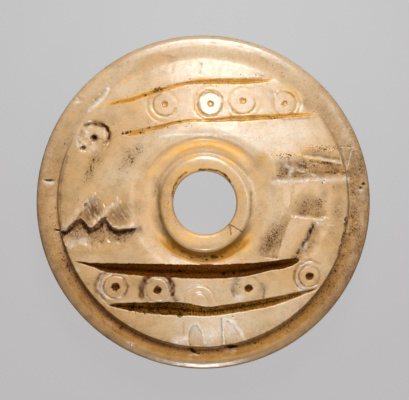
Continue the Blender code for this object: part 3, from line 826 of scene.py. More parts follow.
# %% The turned form laid flat
START_RADIUS = 2.6                     # the flare's foot in the flat layout
END_RADIUS = START_RADIUS + top_end - top_start
AXIS_FADE = (13, 9)                    # turned about the middle, and nearer in about the bore
SQUEEZE_BAND = (5.3, 6.0, 6.2, 7.3)    # starts, full, still full and over, mm from the bore
print("flat layout: from", START_RADIUS, "to", round(END_RADIUS, 1), "mm")


def squeeze(radius, across, up):
    """How much nearer to the bore the collar's wall stands than on a round collar."""
    there = window(radius, *SQUEEZE_BAND) * (1 - 0.7 * ease(1, 4, across))
    return COLLAR_SQUEEZE * there * (across ** 2 - up ** 2) / np.maximum(across ** 2 + up ** 2, 1e-9)


def lay_out(flat_x, flat_y):
    """Place of each point of the flat layout on the turned form, before carving."""
    flat_radius = np.hypot(flat_x, flat_y)
    middle = ease(END_RADIUS, END_RADIUS - 1.5, flat_radius) * ease(START_RADIUS, 4.5, flat_radius)
    unsteady = 0.05 * ripple(flat_x, flat_y, 3.1, 1) + 0.02 * ripple(flat_x, flat_y, 0.9, 2)
    travelled = top_start + flat_radius - START_RADIUS + unsteady * middle
    radius = np.interp(travelled, TRAVEL, PROFILE[:, 0])
    height = np.interp(travelled, TRAVEL, PROFILE[:, 1])
    aside = ease(*AXIS_FADE, radius)
    radius = radius - squeeze(radius, flat_x, flat_y)
    unit = 1 / np.maximum(flat_radius, 1e-6)
    x = radius * flat_x * unit + BORE_PLACE[0] * aside
    y = radius * flat_y * unit + BORE_PLACE[1] * aside
    return x, y, height


# %% Wear on the form
# How many degrees from a direction each effect ends and is full.
CRISP_COVE = (62, 35)
COVE_RIDGE = (24, 6)
FLUSH_EDGE = (84, 56)
SHINY_LIP = (30, 18)
TOP_LEAN = 4                           # the first and the third centre this far to the left


def tilted_disc(x, y):
    """The second motif's disc was worn to a slant that catches the light."""
    across, up = MOTIFS[1][0] * FACE_RADIUS, MOTIFS[1][1] * FACE_RADIUS
    radius = MOTIFS[1][2]
    inside = ease(radius - 0.04, radius - 0.3, np.hypot(x - across, y - up))
    return inside * (0.04 - 0.12 * (y - up))


def soften_cove(x, y, height):
    """The cove's outer edge is crisp towards the top and worn away elsewhere."""
    across, up = x - BORE_PLACE[0], y - BORE_PLACE[1]
    radius = np.hypot(across, up)
    floor = THICKNESS - COVE_DEPTH
    crisp = ease(*CRISP_COVE, from_top(across, up, TOP_LEAN))
    outer = COVE_RADIUS + 0.9 + 1.3 * (1 - crisp)
    deepest = COLLAR_RADIUS + COVE_FLOOR_OFFSET
    rise = ease(0, 1, (radius - deepest) / (outer - deepest))
    worn_height = floor + (dome_height(radius) - worn_away(radius) - floor) * rise
    ring = ease(COLLAR_RADIUS + 0.5, COLLAR_RADIUS + 0.9, radius)
    ring *= ease(0.4, 0, radius - outer)
    deeper = 0.22 * ease(-2, -6, up) - 0.3 * ease(2, 6, up)
    deeper *= window(radius - COLLAR_RADIUS, 0.2, 0.7, 1.2, 1.9)
    ridge = 0.06 * np.exp(-((radius - COVE_RADIUS) / 0.16) ** 2) * ease(0.4, 1.0, crisp)
    ridge *= ease(*COVE_RIDGE, from_top(across, up))
    return height + (worn_height - height) * ring * (1 - 0.55 * crisp) - deeper + ridge


def soften_edge(x, y, height):
    """The face's edge is worn flush with the rim towards the top."""
    radius = np.hypot(x, y)
    inner, outer = FACE_RADIUS - 0.7, WHORL_RADIUS - 1.0
    hollow = dome_height(FACE_RADIUS) - FACE_STEP
    start = dome_height(inner) - worn_away(inner)
    straight = np.clip((radius - inner) / (outer - inner), 0, 1)
    fall = 0.5 * ease(inner, outer, radius) + 0.5 * straight
    flush = start + (hollow + LIP_SWELL - start) * fall
    worn_share = ease(*FLUSH_EDGE, from_top(x, y, TOP_LEAN))
    ring = window(radius, inner - 0.1, inner + 0.1, outer - 0.1, outer + 0.1)
    return height + (flush - height) * ring * worn_share


def worn_lip(x, y):
    """How deep the lip is worn flat below, where it shines."""
    start, end = WHORL_RADIUS - 0.68, WHORL_RADIUS - 0.12
    radius = np.hypot(x, y)

    def lip_fall(place):
        across = np.clip((place - WHORL_RADIUS + LIP_ROUND) / LIP_ROUND, 0, 1)
        return LIP_FALL * (1 - np.sqrt(1 - across ** 2))

    flat = lip_fall(start) + (lip_fall(end) - lip_fall(start)) * (radius - start) / (end - start)
    there = ease(*SHINY_LIP, from_top(x, -y))
    return there * np.clip(flat - lip_fall(radius), 0, None) * (radius < end)


# %% The carved surface
ROUGH_CUTS = ("right_scoop", "right_upper_ledge", "right_lower_ledge", "cross_scoop",
              "long_strip", "short_strip", "left_tooth", "right_tooth", "tooth_scoop")


def carve(x, y, height):
    """Lower the form by its carving. Returns the height and what was cut where."""
    height = soften_edge(x, y, soften_cove(x, y, height))
    shaken_x = x + 0.035 * ripple(x, y, 0.55, 11) + 0.015 * ripple(x, y, 0.2, 12)
    shaken_y = y + 0.035 * ripple(x, y, 0.55, 13) + 0.015 * ripple(x, y, 0.2, 14)
    grooves = {name: knife_cut(shaken_x, shaken_y, *cut) for name, cut in GROOVES.items()}
    rough_x = shaken_x + 0.1 * ripple(x, y, 0.32, 15)
    rough_y = shaken_y + 0.1 * ripple(x, y, 0.32, 16)
    facets = {name: knife_cut(rough_x, rough_y, *cut) for name, cut in CARVING.items()}
    motifs, dots, rings_drawn = ring_and_dots(x, y)
    small = np.maximum.reduce([motifs, worn_rings(x, y), eye(x, y)])
    deep = np.maximum.reduce(list(grooves.values()) + list(facets.values()))
    nicks = [knife_cut(shaken_x, shaken_y, cut, NICK_BOTTOM, NICK_DEPTH)
             for cut in NICKS.values()]
    from_middle = np.hypot(x, y)
    carved = np.minimum(height, dome_height(from_middle) - worn_away(from_middle) - deep)
    carved = np.where(deep > 0.001, carved, height)
    on_face = ease(FACE_RADIUS + 0.2, FACE_RADIUS - 0.1, from_middle)
    carved -= small * on_face + np.maximum.reduce(nicks) + scars(x, y) + worn_lip(x, y)
    rough = window(from_middle, FACE_RADIUS - 0.1, FACE_RADIUS + 0.3,
                   WHORL_RADIUS - 1.8, WHORL_RADIUS - 0.9)
    carved += rough * (0.014 * ripple(x, y, 0.5, 21) + 0.008 * ripple(x, y, 0.25, 22))
    calm = ease(WHORL_RADIUS - 0.05, WHORL_RADIUS - 1.2, from_middle)
    carved += calm * (0.022 * ripple(x, y, 4.3, 23) + 0.009 * ripple(x, y, 1.4, 24) - 0.03)
    carved += calm * 0.004 * ripple(x, y, 0.7, 27)
    rough_ground = np.maximum.reduce([facets[name] for name in ROUGH_CUTS])
    broken = ease(0.03, 0.2, rough_ground)
    carved += broken * (0.030 * ripple(x, y, 0.42, 25) + 0.018 * ripple(x, y, 0.2, 26))
    bone_ropes = ropes(x, y)
    carved += striations(x, y) + bone_ropes + tilted_disc(x, y)
    cuts = {"deep": deep, "dots": dots, "rings": rings_drawn, "ropes": bone_ropes,
            "nicks": np.maximum.reduce(nicks), **grooves, **facets}
    return carved, cuts


# %% The honeycomb
CELL = 0.085                           # finest spacing of the points, in mm
ROW_GAP = CELL * sqrt(0.75)
FINE_POINTS = 52000
MIDDLE_POINTS = 16500
NEIGHBOURS = ((0, 1), (0, -1), (1, 0), (-1, 0), (1, -1), (-1, 1))

rows_out = int(END_RADIUS / ROW_GAP) + 3
columns_out = int(1.6 * END_RADIUS / CELL) + 3      # more, because the rows lean
row, column = np.mgrid[-rows_out:rows_out + 1, -columns_out:columns_out + 1]
flat_x = (column + row / 2) * CELL
flat_y = row * ROW_GAP
x, y, height = lay_out(flat_x, flat_y)
height, cuts = carve(x, y, height)
print("honeycomb:", row.size, "points worked out")


def around(values):
    """Each point's six neighbours, as six shifted copies."""
    return [np.roll(values, shift, axis=(0, 1)) for shift in NEIGHBOURS]


def spread(values, times):
    """Let high values reach their neighbours a few cells further."""
    for _ in range(times):
        values = np.maximum.reduce([values] + around(values))
    return values


def smoothed(values, times):
    """Average with the neighbours, again and again."""
    for _ in range(times):
        values = (values + sum(around(values))) / 7
    return values


# %% [markdown]
# ## Where the whorl is stained, and where shade and light are painted
#
# Soil stays where fingers can't rub it away: in the cuts, in pits, in the hollow
# round the face. Those stains are worked out from the same cuts as the shape. The
# rest can't be worked out, so each is listed where it lies in the photograph, as a
# spot or as a line. Together they make one number for each point and kind of stain,
# which is stored on the mesh. The material turns the numbers into specks and soft
# stains, so that none of them shows as an even tint.
# Not all of it is stain: some spots, lines and masks paint the shade under the collar, the face's
# edge and the carving, and the glow, sheen and highlights of the polished bone, as darker or paler
# colour.

# %% Spots seen on the whorl
WHORL_PIXEL = (203.2, 202.1)           # the whorl's middle in the photograph

# Spots, in the photograph's pixels from its left and top: place, long and short reach,
# then turn in degrees and amount.
SPOTS = {
    "soil_and_shade": (
        (92, 165, 17, 4, 67, 0.34), (130, 157, 15, 6, 52, 0.36), (118, 184, 8, 3, 60, 0.2),
        (109, 128, 5, 8, -30, 0.2), (283, 176, 7, 3, 20, 0.4), (209.4, 84.6, 2, 1, 0, 0.5),
        (145.2, 95.2, 1.8, 1.5, 0, 1.15), (141.6, 133.2, 2, 1.6, 0, 0.95),
        (149.5, 128, 2.2, 1.5, 0, 1), (179.3, 122.4, 2.6, 1.4, 0, 0.95),
        (345.2, 219.7, 1.8, 1.2, 90, 1), (344.2, 224, 1.8, 1.2, 90, 0.95),
        (363.5, 184, 1.8, 1.3, 0, 0.95), (360.4, 188.7, 1, 1, 0, 0.8), (322.5, 182.7, 1, 1, 0, 0.9),
        (213, 257, 3, 2, 0, 0.8), (231.8, 333.8, 1.6, 1.2, 0, 0.7), (57, 230, 3.5, 1.2, 0, 0.8),
        (80, 148, 2.6, 2.2, 0, 0.7), (106.4, 143, 2, 1.6, 0, 0.7), (255, 75, 2, 1.2, -20, 0.5),
        (335, 172, 4, 5, 90, 0.4), (86, 204.5, 2.2, 1.6, 45, 0.8), (132, 307, 3.4, 2.4, 0, 1.4),
        (140, 307, 3, 2.2, 0, 1.4), (150, 310, 3.8, 2.6, 0, 1.4), (158, 310.5, 3.2, 2.4, 0, 1.4),
        (166, 307.5, 2.6, 2, 0, 1.3), (169, 313, 2.8, 1.8, 0, 1.3), (180, 314.5, 3.4, 1.8, 0, 1.3),
        (187, 309, 2.2, 1.8, 0, 1.2), (121, 306, 2.6, 1.8, 0, 1.2), (204, 312, 2.2, 1.6, 0, 1.1),
        (180, 271, 3.2, 2.4, 0, 1.2), (224, 273.5, 2.8, 1.8, 0, 1.2), (234, 273, 2.4, 1.8, 0, 1.2),
        (150, 270, 2.2, 1.8, 0, 1.1), (214, 257.2, 3.6, 2, 0, 1.3), (191, 257.2, 2.4, 1.8, 0, 1.2),
        (206, 259, 2, 1.4, 0, 1), (222, 256, 1.8, 1.2, 0, 1), (94.2, 138.2, 3.2, 3, 0, 0.75),
        (83.6, 147.7, 2.6, 2.2, 0, 0.6), (286, 155, 17, 3.5, 0, 0.55), (320, 148, 18, 4, 0, 0.55),
        (322, 163, 16, 3, 5, 0.35), (285, 172, 12, 7, 20, 0.3), (276, 236, 18, 6, 62, 0.3),
        (313, 207, 14, 9, 0, 0.22), (183, 253, 5, 3, 10, 0.5), (236, 246, 4, 2, -30, 0.5),
        (206, 258, 14, 3, 0, 0.5),
    ),
    "brown_and_shade": (
        (92, 211, 10, 6, 60, 0.5), (124, 214, 10, 7, 100, 0.3), (95, 199, 5, 3, 60, 0.5),
        (193, 351, 4.5, 2, -25, 1), (230, 347, 7, 1.8, 0, 1), (335, 170, 4, 7, 80, 0.45),
        (286, 172, 7, 4, 30, 0.35), (300, 210, 8, 4, 10, 0.35), (94.2, 138.2, 3.6, 3.4, 0, 1),
        (83.6, 147.7, 2.8, 2.4, 0, 0.9), (83, 226, 5, 2.4, 40, 0.5), (104, 225, 3, 2.4, 30, 0.5),
        # Of these, (206, 256) and (177, 256) darken the collar's shadow on the cove and (213, 353)
        # the rim under the face's edge: painted shadow.
        (270, 245, 9, 4, 62, 0.3), (206, 256, 16, 3.5, 0, 0.3), (213, 353, 24, 4, 0, 0.35),
        (177, 256, 6, 4, -30, 0.35), (45, 196, 3, 8, 90, 0.2), (352, 240, 4, 20, 10, 0.22),
        (330, 178, 9, 1.6, 0, 0.2), (360, 160, 4, 16, 0, 0.15), (262, 75, 9, 1.8, -14, 0.3),
        (120, 66, 12, 2, 24, 0.2), (170, 62, 2, 6, 0, 0.2), (112, 107, 8, 5, 40, 0.15),
    ),
    "smudge_and_shade": (
        (92, 168, 21, 5.5, 67, 0.6), (130, 157, 17, 8, 52, 0.55), (118, 184, 9, 3.6, 60, 0.4),
        (91, 211, 11, 8, 55, 0.8), (119, 215, 11, 9, 115, 0.6), (158, 286, 19, 13, 0, 0.3),
        (285, 164, 12, 6, 0, 0.7), (303, 163, 9, 6, 0, 0.7), (322, 169, 22, 7, 3, 0.6),
        (322, 153, 14, 3, 4, 0.4), (310, 205, 14, 9, 0, 0.75), (324, 192, 5, 9, 0, 0.5),
        (270, 240, 22, 7.5, 62, 0.95), (311, 240, 14, 5, 65, 0.65), (331, 238, 20, 6, 78, 0.2),
        (309, 106, 8, 5, -35, 0.5), (325, 110, 7, 5, -45, 0.5), (335, 135, 8, 4, -60, 0.55),
        (325, 118, 36, 6, -55, 0.4), (356, 235, 45, 8, 95, 0.95), (358, 180, 34, 8, 85, 1),
        (352, 150, 20, 6, 75, 0.5), (48, 215, 45, 6, 90, 0.35), (60, 262, 30, 6, -62, 0.35),
        (85, 300, 30, 7, -48, 0.35), (325, 310, 36, 7, 45, 0.4), (110, 320, 20, 5, -30, 0.3),
        (60, 140, 30, 7, 68, 0.25), (120, 60, 26, 6, 28, 0.25), (268, 60, 26, 6, -25, 0.35),
        (240, 345, 30, 5, 10, 0.2), (128, 282, 8, 7, 0, 0.3), (172, 300, 10, 6, -20, 0.4),
        (118, 265, 20, 3, -3, 0.2), (262, 290, 6, 9, 0, 0.4), (240, 287, 5, 9, 0, 0.3),
        (147, 300, 6, 4, 0, 0.4), (104, 285, 4, 10, 0, 0.3), (150, 100, 5, 9, 0, 0.25),
        (272, 98, 4, 7, 0, 0.35), (100, 95, 12, 5, 35, 0.3), (110, 118, 9, 6, 30, 0.25),
        (155, 75, 14, 4, 12, 0.2), (256, 165, 6, 16, -30, 0.3), (258, 205, 7, 24, 5, 0.3),
        (157, 188, 5, 12, 20, 0.35), (158, 212, 4, 14, 0, 0.35), (128, 260, 24, 5, -4, 0.25),
        (75, 195, 5, 20, 0, 0.15), (318, 226, 6, 3, 0, 0.4), (167, 205, 6, 24, 0, 0.5),
        (132, 207, 16, 7, 0, 0.4), (338, 212, 7, 16, 0, 0.7), (336, 186, 8, 6, 0, 0.4),
        (361, 205, 6, 36, 0, 0.6), (364, 170, 5, 20, 10, 0.6), (206, 262, 20, 3, 0, 0.35),
        (150, 283, 26, 5, -3, 0.45), (84, 250, 6, 8, 0, 0.35), (66, 205, 4, 22, 0, 0.3),
        (41, 205, 4, 44, 0, 0.5), (100, 325, 10, 24, 40, 0.4), (110, 290, 30, 8, -10, 0.25),
        (160, 129, 20, 3, 14, 0.3), (322, 100, 10, 16, -40, 0.3), (330, 340, 20, 6, 45, 0.4),
        (85, 243, 14, 5, 0, 0.25), (195, 336, 4.5, 8, 0, 0.4), (233, 336, 4.5, 8, 15, 0.35),
    ),
    "honey": (
        (132, 185, 2.4, 2.2, 0, 0.35), (270, 168.6, 3, 1.6, 0, 0.5), (165, 209.5, 2.4, 2.2, 0, 0.3),
        (180, 234, 20, 5, -40, 0.35), (212, 43.8, 1.6, 1, 0, 0.5), (240, 47, 1.4, 1, 0, 0.5),
        (262, 160, 9, 5, -60, 0.35), (260, 190, 5, 24, 0, 0.15), (154, 170, 6, 16, -30, 0.3),
        (246, 249, 9, 3, 40, 0.5), (330, 250, 4, 3, 0, 0.2), (300, 330, 14, 5, 25, 0.2),
        (72, 118, 7, 4, 50, 0.35), (128, 80, 9, 4, 20, 0.22), (136, 106, 6, 7, 0, 0.25),
        (80, 150, 5, 12, 0, 0.15), (90, 190, 8, 14, 0, 0.15), (190, 158, 12, 4, 12, 0.4),
        (228, 162, 10, 5, -20, 0.4), (66, 135, 3, 6, 0, 0.3),
    ),
    "chalk_and_highlight": (
        # Some of these are painted highlights: (49, 182.8) and (77.5, 102.2) below two nicks, (283,
        # 184) on the recess's lit lower wall, and (182, 340.5) and (179, 339) on the tongue's edge.
        # The rest is chalky bone.
        (82, 240, 9, 3, 0, 0.4), (72, 244, 5, 3, 80, 0.5), (49, 182.8, 6, 2.2, 0, 0.6),
        (77.5, 102.2, 5, 1.3, 5, 0.8), (360.4, 190, 3, 1.6, 0, 0.6), (300.6, 107, 3, 3, 0, 0.75),
        (257, 93, 4, 3.5, 0, 0.5), (184, 71, 7, 5, 0, 0.4), (240, 298, 4.5, 3.5, 0, 0.8),
        (182, 340.5, 5, 3, 0, 0.85), (77.5, 270, 3, 2, 0, 0.7), (132, 342.5, 5, 1.2, -15, 0.3),
        (283, 184, 10, 3, 0, 0.5), (250, 103, 3, 5, 0, 0.4), (272, 96, 3, 3, 0, 0.4),
        (88, 129, 5, 3, 40, 0.45), (79, 142, 2, 8, 0, 0.4), (212, 333, 8, 12, 0, 0.9),
        (230, 330, 4, 8, 20, 0.6), (196, 334, 5, 9, 0, 0.35), (179, 339, 7, 5, 0, 0.75),
        (84, 143, 3, 4, 0, 0.4), (88, 133, 4.5, 4, 0, 0.55), (100, 133, 4, 4, 0, 0.45),
        (92, 147, 5, 3, 0, 0.4), (304, 246, 6, 3, 62, 0.5), (318, 224, 5, 2.4, 0, 0.35),
        (300, 290, 2, 5, 0, 0.5), (232, 333, 5, 8, 0, 0.3), (195, 333, 5, 9, 0, 0.2),
    ),
    "pale": (
        # Most of these paint the polished sheen as paler colour, where the softboxes gleam: the upper
        # field, above the cove, the lower field and the rim's top, and (206, 363) paints the lower
        # lip's highlight. The rest is paler bone.
        (225, 72, 80, 24, 0, 0.55), (225, 104, 70, 26, 0, 0.45), (215, 136, 72, 18, 0, 0.85),
        (272, 136, 46, 20, 10, 0.85), (216, 322, 44, 20, 0, 1), (215, 290, 70, 14, 0, 0.48),
        (290, 310, 26, 16, 30, 0.6), (130, 300, 14, 10, 0, 0.3), (206, 50, 80, 9, 0, 0.6),
        (115, 78, 44, 9, 38, 0.55), (300, 84, 40, 9, -42, 0.5), (72, 130, 24, 8, 66, 0.3),
        (118, 172, 18, 16, 40, 0.45), (140, 150, 14, 14, 0, 0.5), (110, 262, 36, 9, 0, 0.3),
        (120, 90, 40, 18, 30, 0.35), (206, 159, 40, 6, 0, 0.5), (246, 200, 6, 30, 0, 0.5),
        (228, 192, 30, 34, 0, 0.5), (288, 240, 20, 7, 62, 0.35), (140, 160, 24, 20, 0, 0.25),
        (150, 200, 8, 40, 0, 0.15), (270, 205, 16, 24, 0, 0.5), (206, 240, 34, 8, 0, 0.2),
        (206, 363, 60, 4, 0, 0.3), (318, 262, 20, 10, 0, 0.2), (330, 270, 10, 12, 0, 0.25),
        (80, 238, 14, 6, 0, 0.3), (300, 62, 20, 6, -30, 0.3),
    ),
}
print("spots:", {kind: len(rows) for kind, rows in SPOTS.items()})

# %% Lines seen on the whorl


def arc(across, down, radius, start, end):
    """Places round an arc, as pixels in turn, its ends in degrees from the right and up."""
    count = max(int(abs(end - start) / 30), 2)
    turns = [radians(start + (end - start) * step / count) for step in range(count + 1)]
    return [value for turn in turns
            for value in (across + radius * cos(turn), down - radius * sin(turn))]


# The pixels that each passes through, half its width in pixels, and amount.
LINES = {
    "soil_and_shade": (
        ((344, 160, 342, 177), 1.6, 0.5), ((310, 160.5, 322, 162, 340, 165), 1.2, 0.5),
        ((346.4, 217, 345, 226, 342, 240, 338, 254), 1.1, 0.8),
        ((62, 236, 65, 250, 70, 262), 1.2, 0.5),
        ((312.3, 224, 306.5, 238.2, 299.5, 249.3, 295, 258), 1.8, 0.75),
        ((152.5, 91, 161.5, 87.7), 1.8, 1.15), ((123, 134, 130, 132.6), 1.7, 1.15),
        ((270, 120, 283, 119), 1, 0.4), ((130, 310, 160, 313, 200, 310), 2.6, 0.8),
        ((187, 348.5, 199, 353.4), 1.2, 0.7), ((222, 346, 238, 346), 1.3, 0.8),
        # The next two lines darken the bore's upper mouth: a stain, and painted shade where its edge
        # faces away from the key light.
        ((172.5, 196, 174, 187, 179, 179, 186, 173), 1.2, 0.5),
        ((199, 170, 208, 169.3, 218, 171.3, 226, 176.3, 230.5, 182.5), 1.1, 0.65),
        ((104.5, 124.5, 108.5, 129, 110, 135), 1.1, 0.8),
    ),
    "brown_and_shade": (
        # The next three lines paint the shadow under the teeth, where the scoop's upper wall hides
        # the key light.
        ((60, 232, 69, 231, 77, 226, 82, 221), 3, 0.6),
        ((84, 223, 90, 230.5, 98, 228.5, 104, 222.5), 3.4, 0.6),
        ((106, 224, 112, 231, 120, 233.5, 128, 232.5, 138, 229), 3.2, 0.6),
        ((86, 207, 91, 199, 97, 194), 1.6, 0.45),
        ((62, 233, 60.3, 215, 60.3, 200, 61.5, 185, 64, 170, 68, 155), 0.9, 0.5),
        ((62, 236, 65, 250, 70, 262), 1.6, 0.6), ((346.6, 180, 347.3, 200, 346.4, 215), 0.8, 0.6),
        ((346.4, 216, 345, 226, 342, 240, 338, 254), 1.5, 0.7),
        ((312.3, 224, 306, 238.2, 299, 249.3, 294, 258), 2.6, 0.6),
        # The next three lines paint the collar's shadow: under it on the cove and along its left and
        # right foot.
        ((163, 231, 168, 240, 177, 248.5, 190, 254,
          206, 256, 222, 253.5, 236, 245.5, 244, 236), 3.4, 0.7),
        ((159.5, 185, 158.3, 200, 159.3, 214, 163.5, 229), 1.7, 0.6),
        ((245, 234, 249.8, 221, 251, 208, 250.8, 192), 1.3, 0.4),
        ((228.5, 224.3, 235, 227.6, 241, 231.2), 0.9, 0.95),
        ((229.2, 225, 230.3, 230, 231.2, 234.5), 0.8, 0.85),
        ((154, 196, 157, 185, 163, 174), 1.6, 0.3),
        # The next two lines darken the bore's upper mouth: a stain, and painted shade where its edge
        # faces away from the key light.
        ((172.5, 196, 174, 187, 179, 179, 186, 173), 1.3, 0.75),
        ((199, 170, 208, 169.3, 218, 171.3, 226, 176.3, 230.5, 182.5), 1.2, 0.9),
        ((86, 125, 92, 123.3, 100, 124, 106, 127, 109.5, 133, 109, 139), 1.8, 1.1),
        ((82, 131, 79, 139, 81, 147), 1.2, 0.5), ((173, 66, 170.5, 76), 0.9, 0.3),
        ((202, 64, 199, 74), 0.9, 0.35), ((128, 344, 133, 343.5, 138, 345.5), 1.2, 0.6),
        ((163, 55, 176, 58), 0.9, 0.3), ((104, 143, 109, 141), 1.6, 0.6),
        ((310, 161, 322, 162.5, 340, 166), 1.8, 0.5),
        ((104, 297, 97, 291, 96, 283, 100, 275, 108, 270), 2.4, 0.8),
        ((142, 296, 141, 288, 145, 279, 152, 273.5,
          160, 272.5, 168, 276.5, 173, 285, 172, 293), 3, 1.15),
        ((172, 293, 176, 300), 2.2, 0.6),
        ((189.6, 344, 190, 332, 192.5, 326, 197, 325, 201.5, 333), 0.9, 0.5),
        ((221.6, 318, 222, 344), 0.9, 0.5), ((227, 321, 234, 326, 239, 334), 0.9, 0.35),
        ((184, 321, 183, 336), 0.7, 0.3), ((124, 279, 128, 287, 125, 296), 1.6, 0.7),
        (arc(115.8, 286.9, 11.5, 150, 280), 1, 0.5), ((234, 296, 233, 286, 237, 277), 1.6, 0.6),
        (arc(248.4, 288, 12, 30, 150), 0.9, 0.35), ((262, 283, 264.5, 290, 263, 297), 1.2, 0.55),
        ((295, 270, 294, 279, 298, 287, 306, 291), 1.4, 0.7),
        (arc(308.9, 276, 10.5, 0, 360), 0.9, 0.4), ((300, 262, 310, 259.5, 320, 263), 1, 0.45),
        ((154, 92, 176, 84, 200, 81.5), 1.2, 0.5), (arc(165.3, 104.5, 12, 110, 340), 0.9, 0.5),
        (arc(210.2, 104.2, 12.8, 0, 360), 0.9, 0.5), (arc(242.6, 101.3, 13.5, 190, 350), 0.9, 0.5),
        (arc(285.1, 104.2, 12, 0, 360), 0.8, 0.4), ((122, 134, 140, 130, 176, 122), 1.2, 0.4),
        ((206, 122, 236, 116.5, 256, 116, 284, 119.5, 309, 118), 1.2, 0.45),
        ((206, 80.5, 236, 79.5, 260, 78.5), 1.1, 0.4),
    ),
    "smudge_and_shade": (
        ((154, 104, 156, 96, 163, 91), 1.4, 0.3),
        # Painted shadow: a soft band under the teeth, where the scoop's wall shades it.
        ((61, 235, 69, 234, 77, 230, 82, 224, 90, 234, 98, 232,
          105, 226, 112, 234, 121, 237, 130, 235, 139, 230), 5.5, 0.9),
    ),
    "honey": (
        ((270, 156, 280, 153.5, 292, 154, 303, 155.5), 2.6, 0.32),
        ((303, 149, 312, 147, 322, 147.5, 334, 150), 2.6, 0.32),
        ((306, 158, 313, 160, 326, 162, 341, 166), 1.4, 0.7),
        # Honey tint at the bore's upper mouth, partly a stain and partly painted shade.
        ((172, 194, 173, 186, 178, 178, 186, 172,
          196, 168.5, 208, 168, 220, 171, 229, 178), 2, 0.7),
        ((85, 206, 90, 199, 97, 193), 1.6, 0.4), ((96, 108, 101, 104.5, 112, 101), 1.6, 0.4),
        # Painted glow of light through the bone at the cove's top, with honey tint.
        ((180, 152, 190, 148, 205, 146, 222, 148, 234, 153), 2.6, 0.6),
        ((177, 171, 190, 166), 1.6, 0.4), ((232, 176, 240, 186, 243, 200, 241, 212), 2.2, 0.25),
    ),
    "chalk_and_highlight": (
        # The next four lines whiten the teeth's ropes and the lip under them where they catch the
        # light: painted highlights.
        ((96, 194, 87, 203, 79, 211.5, 70.5, 220.5, 63, 229), 2, 0.2),
        ((108, 208, 104, 213.5, 99, 219), 1.6, 0.4), ((112, 206, 117, 201.5), 1.2, 0.45),
        ((95, 223, 91, 227), 1.6, 0.6),
        ((107, 221.5, 112, 226, 120, 227.3, 128.3, 227, 137, 226), 1.4, 0.3),
        # The next six lines whiten edges at the right that face the key light: painted light over
        # crumbly pale bone.
        ((274, 183, 282, 182.4, 295, 181.5, 313, 181, 328, 180, 346, 179), 3.4, 0.6),
        ((286, 166, 292, 169, 290, 175), 2.2, 0.55),
        ((306, 156, 313, 157.5, 325, 159.5, 341, 163.5), 1.4, 0.5),
        ((296.6, 169.5, 304, 171.6, 314, 176), 1.2, 0.75),
        ((294.8, 217, 304, 217.9, 313.3, 219.3, 324, 219.7), 1.3, 0.6),
        ((328, 225.3, 334, 225.3), 1, 0.6),
        # The triangle's edges, the notches' lower edges, the tongue's outline and its flash at (177,
        # 341.5) are painted highlights.
        ((225.8, 318.3, 234.2, 322.5, 239.8, 331, 244.7, 339.4), 1.7, 1.15),
        ((223, 350.2, 235.6, 350.2), 0.8, 0.45), ((189, 355, 199, 355.5), 0.8, 0.4),
        ((89, 110.5, 100, 101, 109, 89), 1.8, 1.1),
        ((191, 325, 188, 331, 187.5, 337, 188.2, 344.3), 1.2, 1),
        ((296, 281, 299, 288, 306, 291.5), 2.2, 0.7), ((352, 147.6, 346.6, 168.9), 0.8, 0.55),
        ((342, 147.6, 347, 168.9), 0.8, 0.4), ((224, 344, 224, 318), 1.2, 1),
        ((177, 341.5, 182, 338.5, 187, 337.5), 2.2, 1.2),
        ((197, 323, 202.5, 332, 204.5, 343), 1.1, 0.8), ((205, 328, 206, 343), 1, 0.7),
        ((103, 272, 99, 278, 98, 285, 102, 293, 108, 297), 1.8, 0.8),
        ((108, 298, 100, 295), 1.4, 0.5), ((143, 281, 142, 290), 1, 0.5),
        ((187, 288, 195, 285, 204, 286, 212, 293), 1, 0.5),
        # Painted highlight along the cove's upper edge.
        ((160, 137, 175, 135, 206, 134.4, 240, 134.8, 257, 136), 1.2, 1),
    ),
    "pale": (),
}


print("lines:", {kind: len(rows) for kind, rows in LINES.items()})

# %% One kind of stain and painted light


def on_whorl(pixels):
    """Millimetres on the whorl for places in the photograph, to the nearest tenth."""
    across = [round((value - WHORL_PIXEL[0]) * PICTURE_SCALE, 1) for value in pixels[0::2]]
    up = [round((WHORL_PIXEL[1] - value) * PICTURE_SCALE, 1) for value in pixels[1::2]]
    return list(zip(across, up))


def spots_and_lines(kind):
    """Strongest of the soft-edged spots and lines of one kind."""
    total = np.zeros(x.shape)
    shift_x = 0.16 * ripple(x, y, 0.45, 201) + 0.3 * ripple(x, y, 1.3, 202)
    shift_y = 0.16 * ripple(x, y, 0.45, 203) + 0.3 * ripple(x, y, 1.3, 204)
    for *pixel, long, short, turn, amount in SPOTS[kind]:
        across, up = on_whorl(pixel)[0]
        long, short = (round(reach * PICTURE_SCALE, 2) for reach in (long, short))
        c, s = cos(radians(turn)), sin(radians(turn))
        steady = min(short / 0.8, 1)
        dx, dy = x + steady * shift_x - across, y + steady * shift_y - up
        u, v = (dx * c + dy * s) / long, (dy * c - dx * s) / short
        total = np.maximum(total, amount * np.exp(-(u * u + v * v) ** 1.5))
    near_x = x + 0.07 * ripple(x, y, 0.35, 205)
    near_y = y + 0.07 * ripple(x, y, 0.35, 206)
    broken = 0.85 + 0.35 * ripple(x, y, 0.3, 207)
    for pixels, width, amount in LINES[kind]:
        gap, _ = off_line(near_x, near_y, on_whorl(pixels))
        width = round(width * PICTURE_SCALE, 2)
        total = np.maximum(total, amount * broken * np.exp(-(gap / width) ** 3))
    return total


# %% Places where stains gather and where shade is painted
from_middle = np.hypot(x, y)
from_bore = np.hypot(x - BORE_PLACE[0], y - BORE_PLACE[1])
from_bore += squeeze(from_bore, x - BORE_PLACE[0], y - BORE_PLACE[1])
crease = np.clip(smoothed(height, 5) - height, 0, None)
facing_down = (np.roll(height, -1, axis=0) - np.roll(height, 1, axis=0)) / (2 * ROW_GAP)
shaded_wall = smoothed(ease(0.05, 0.45, facing_down), 1)
raised = np.clip(height - smoothed(height, 4), 0, None)

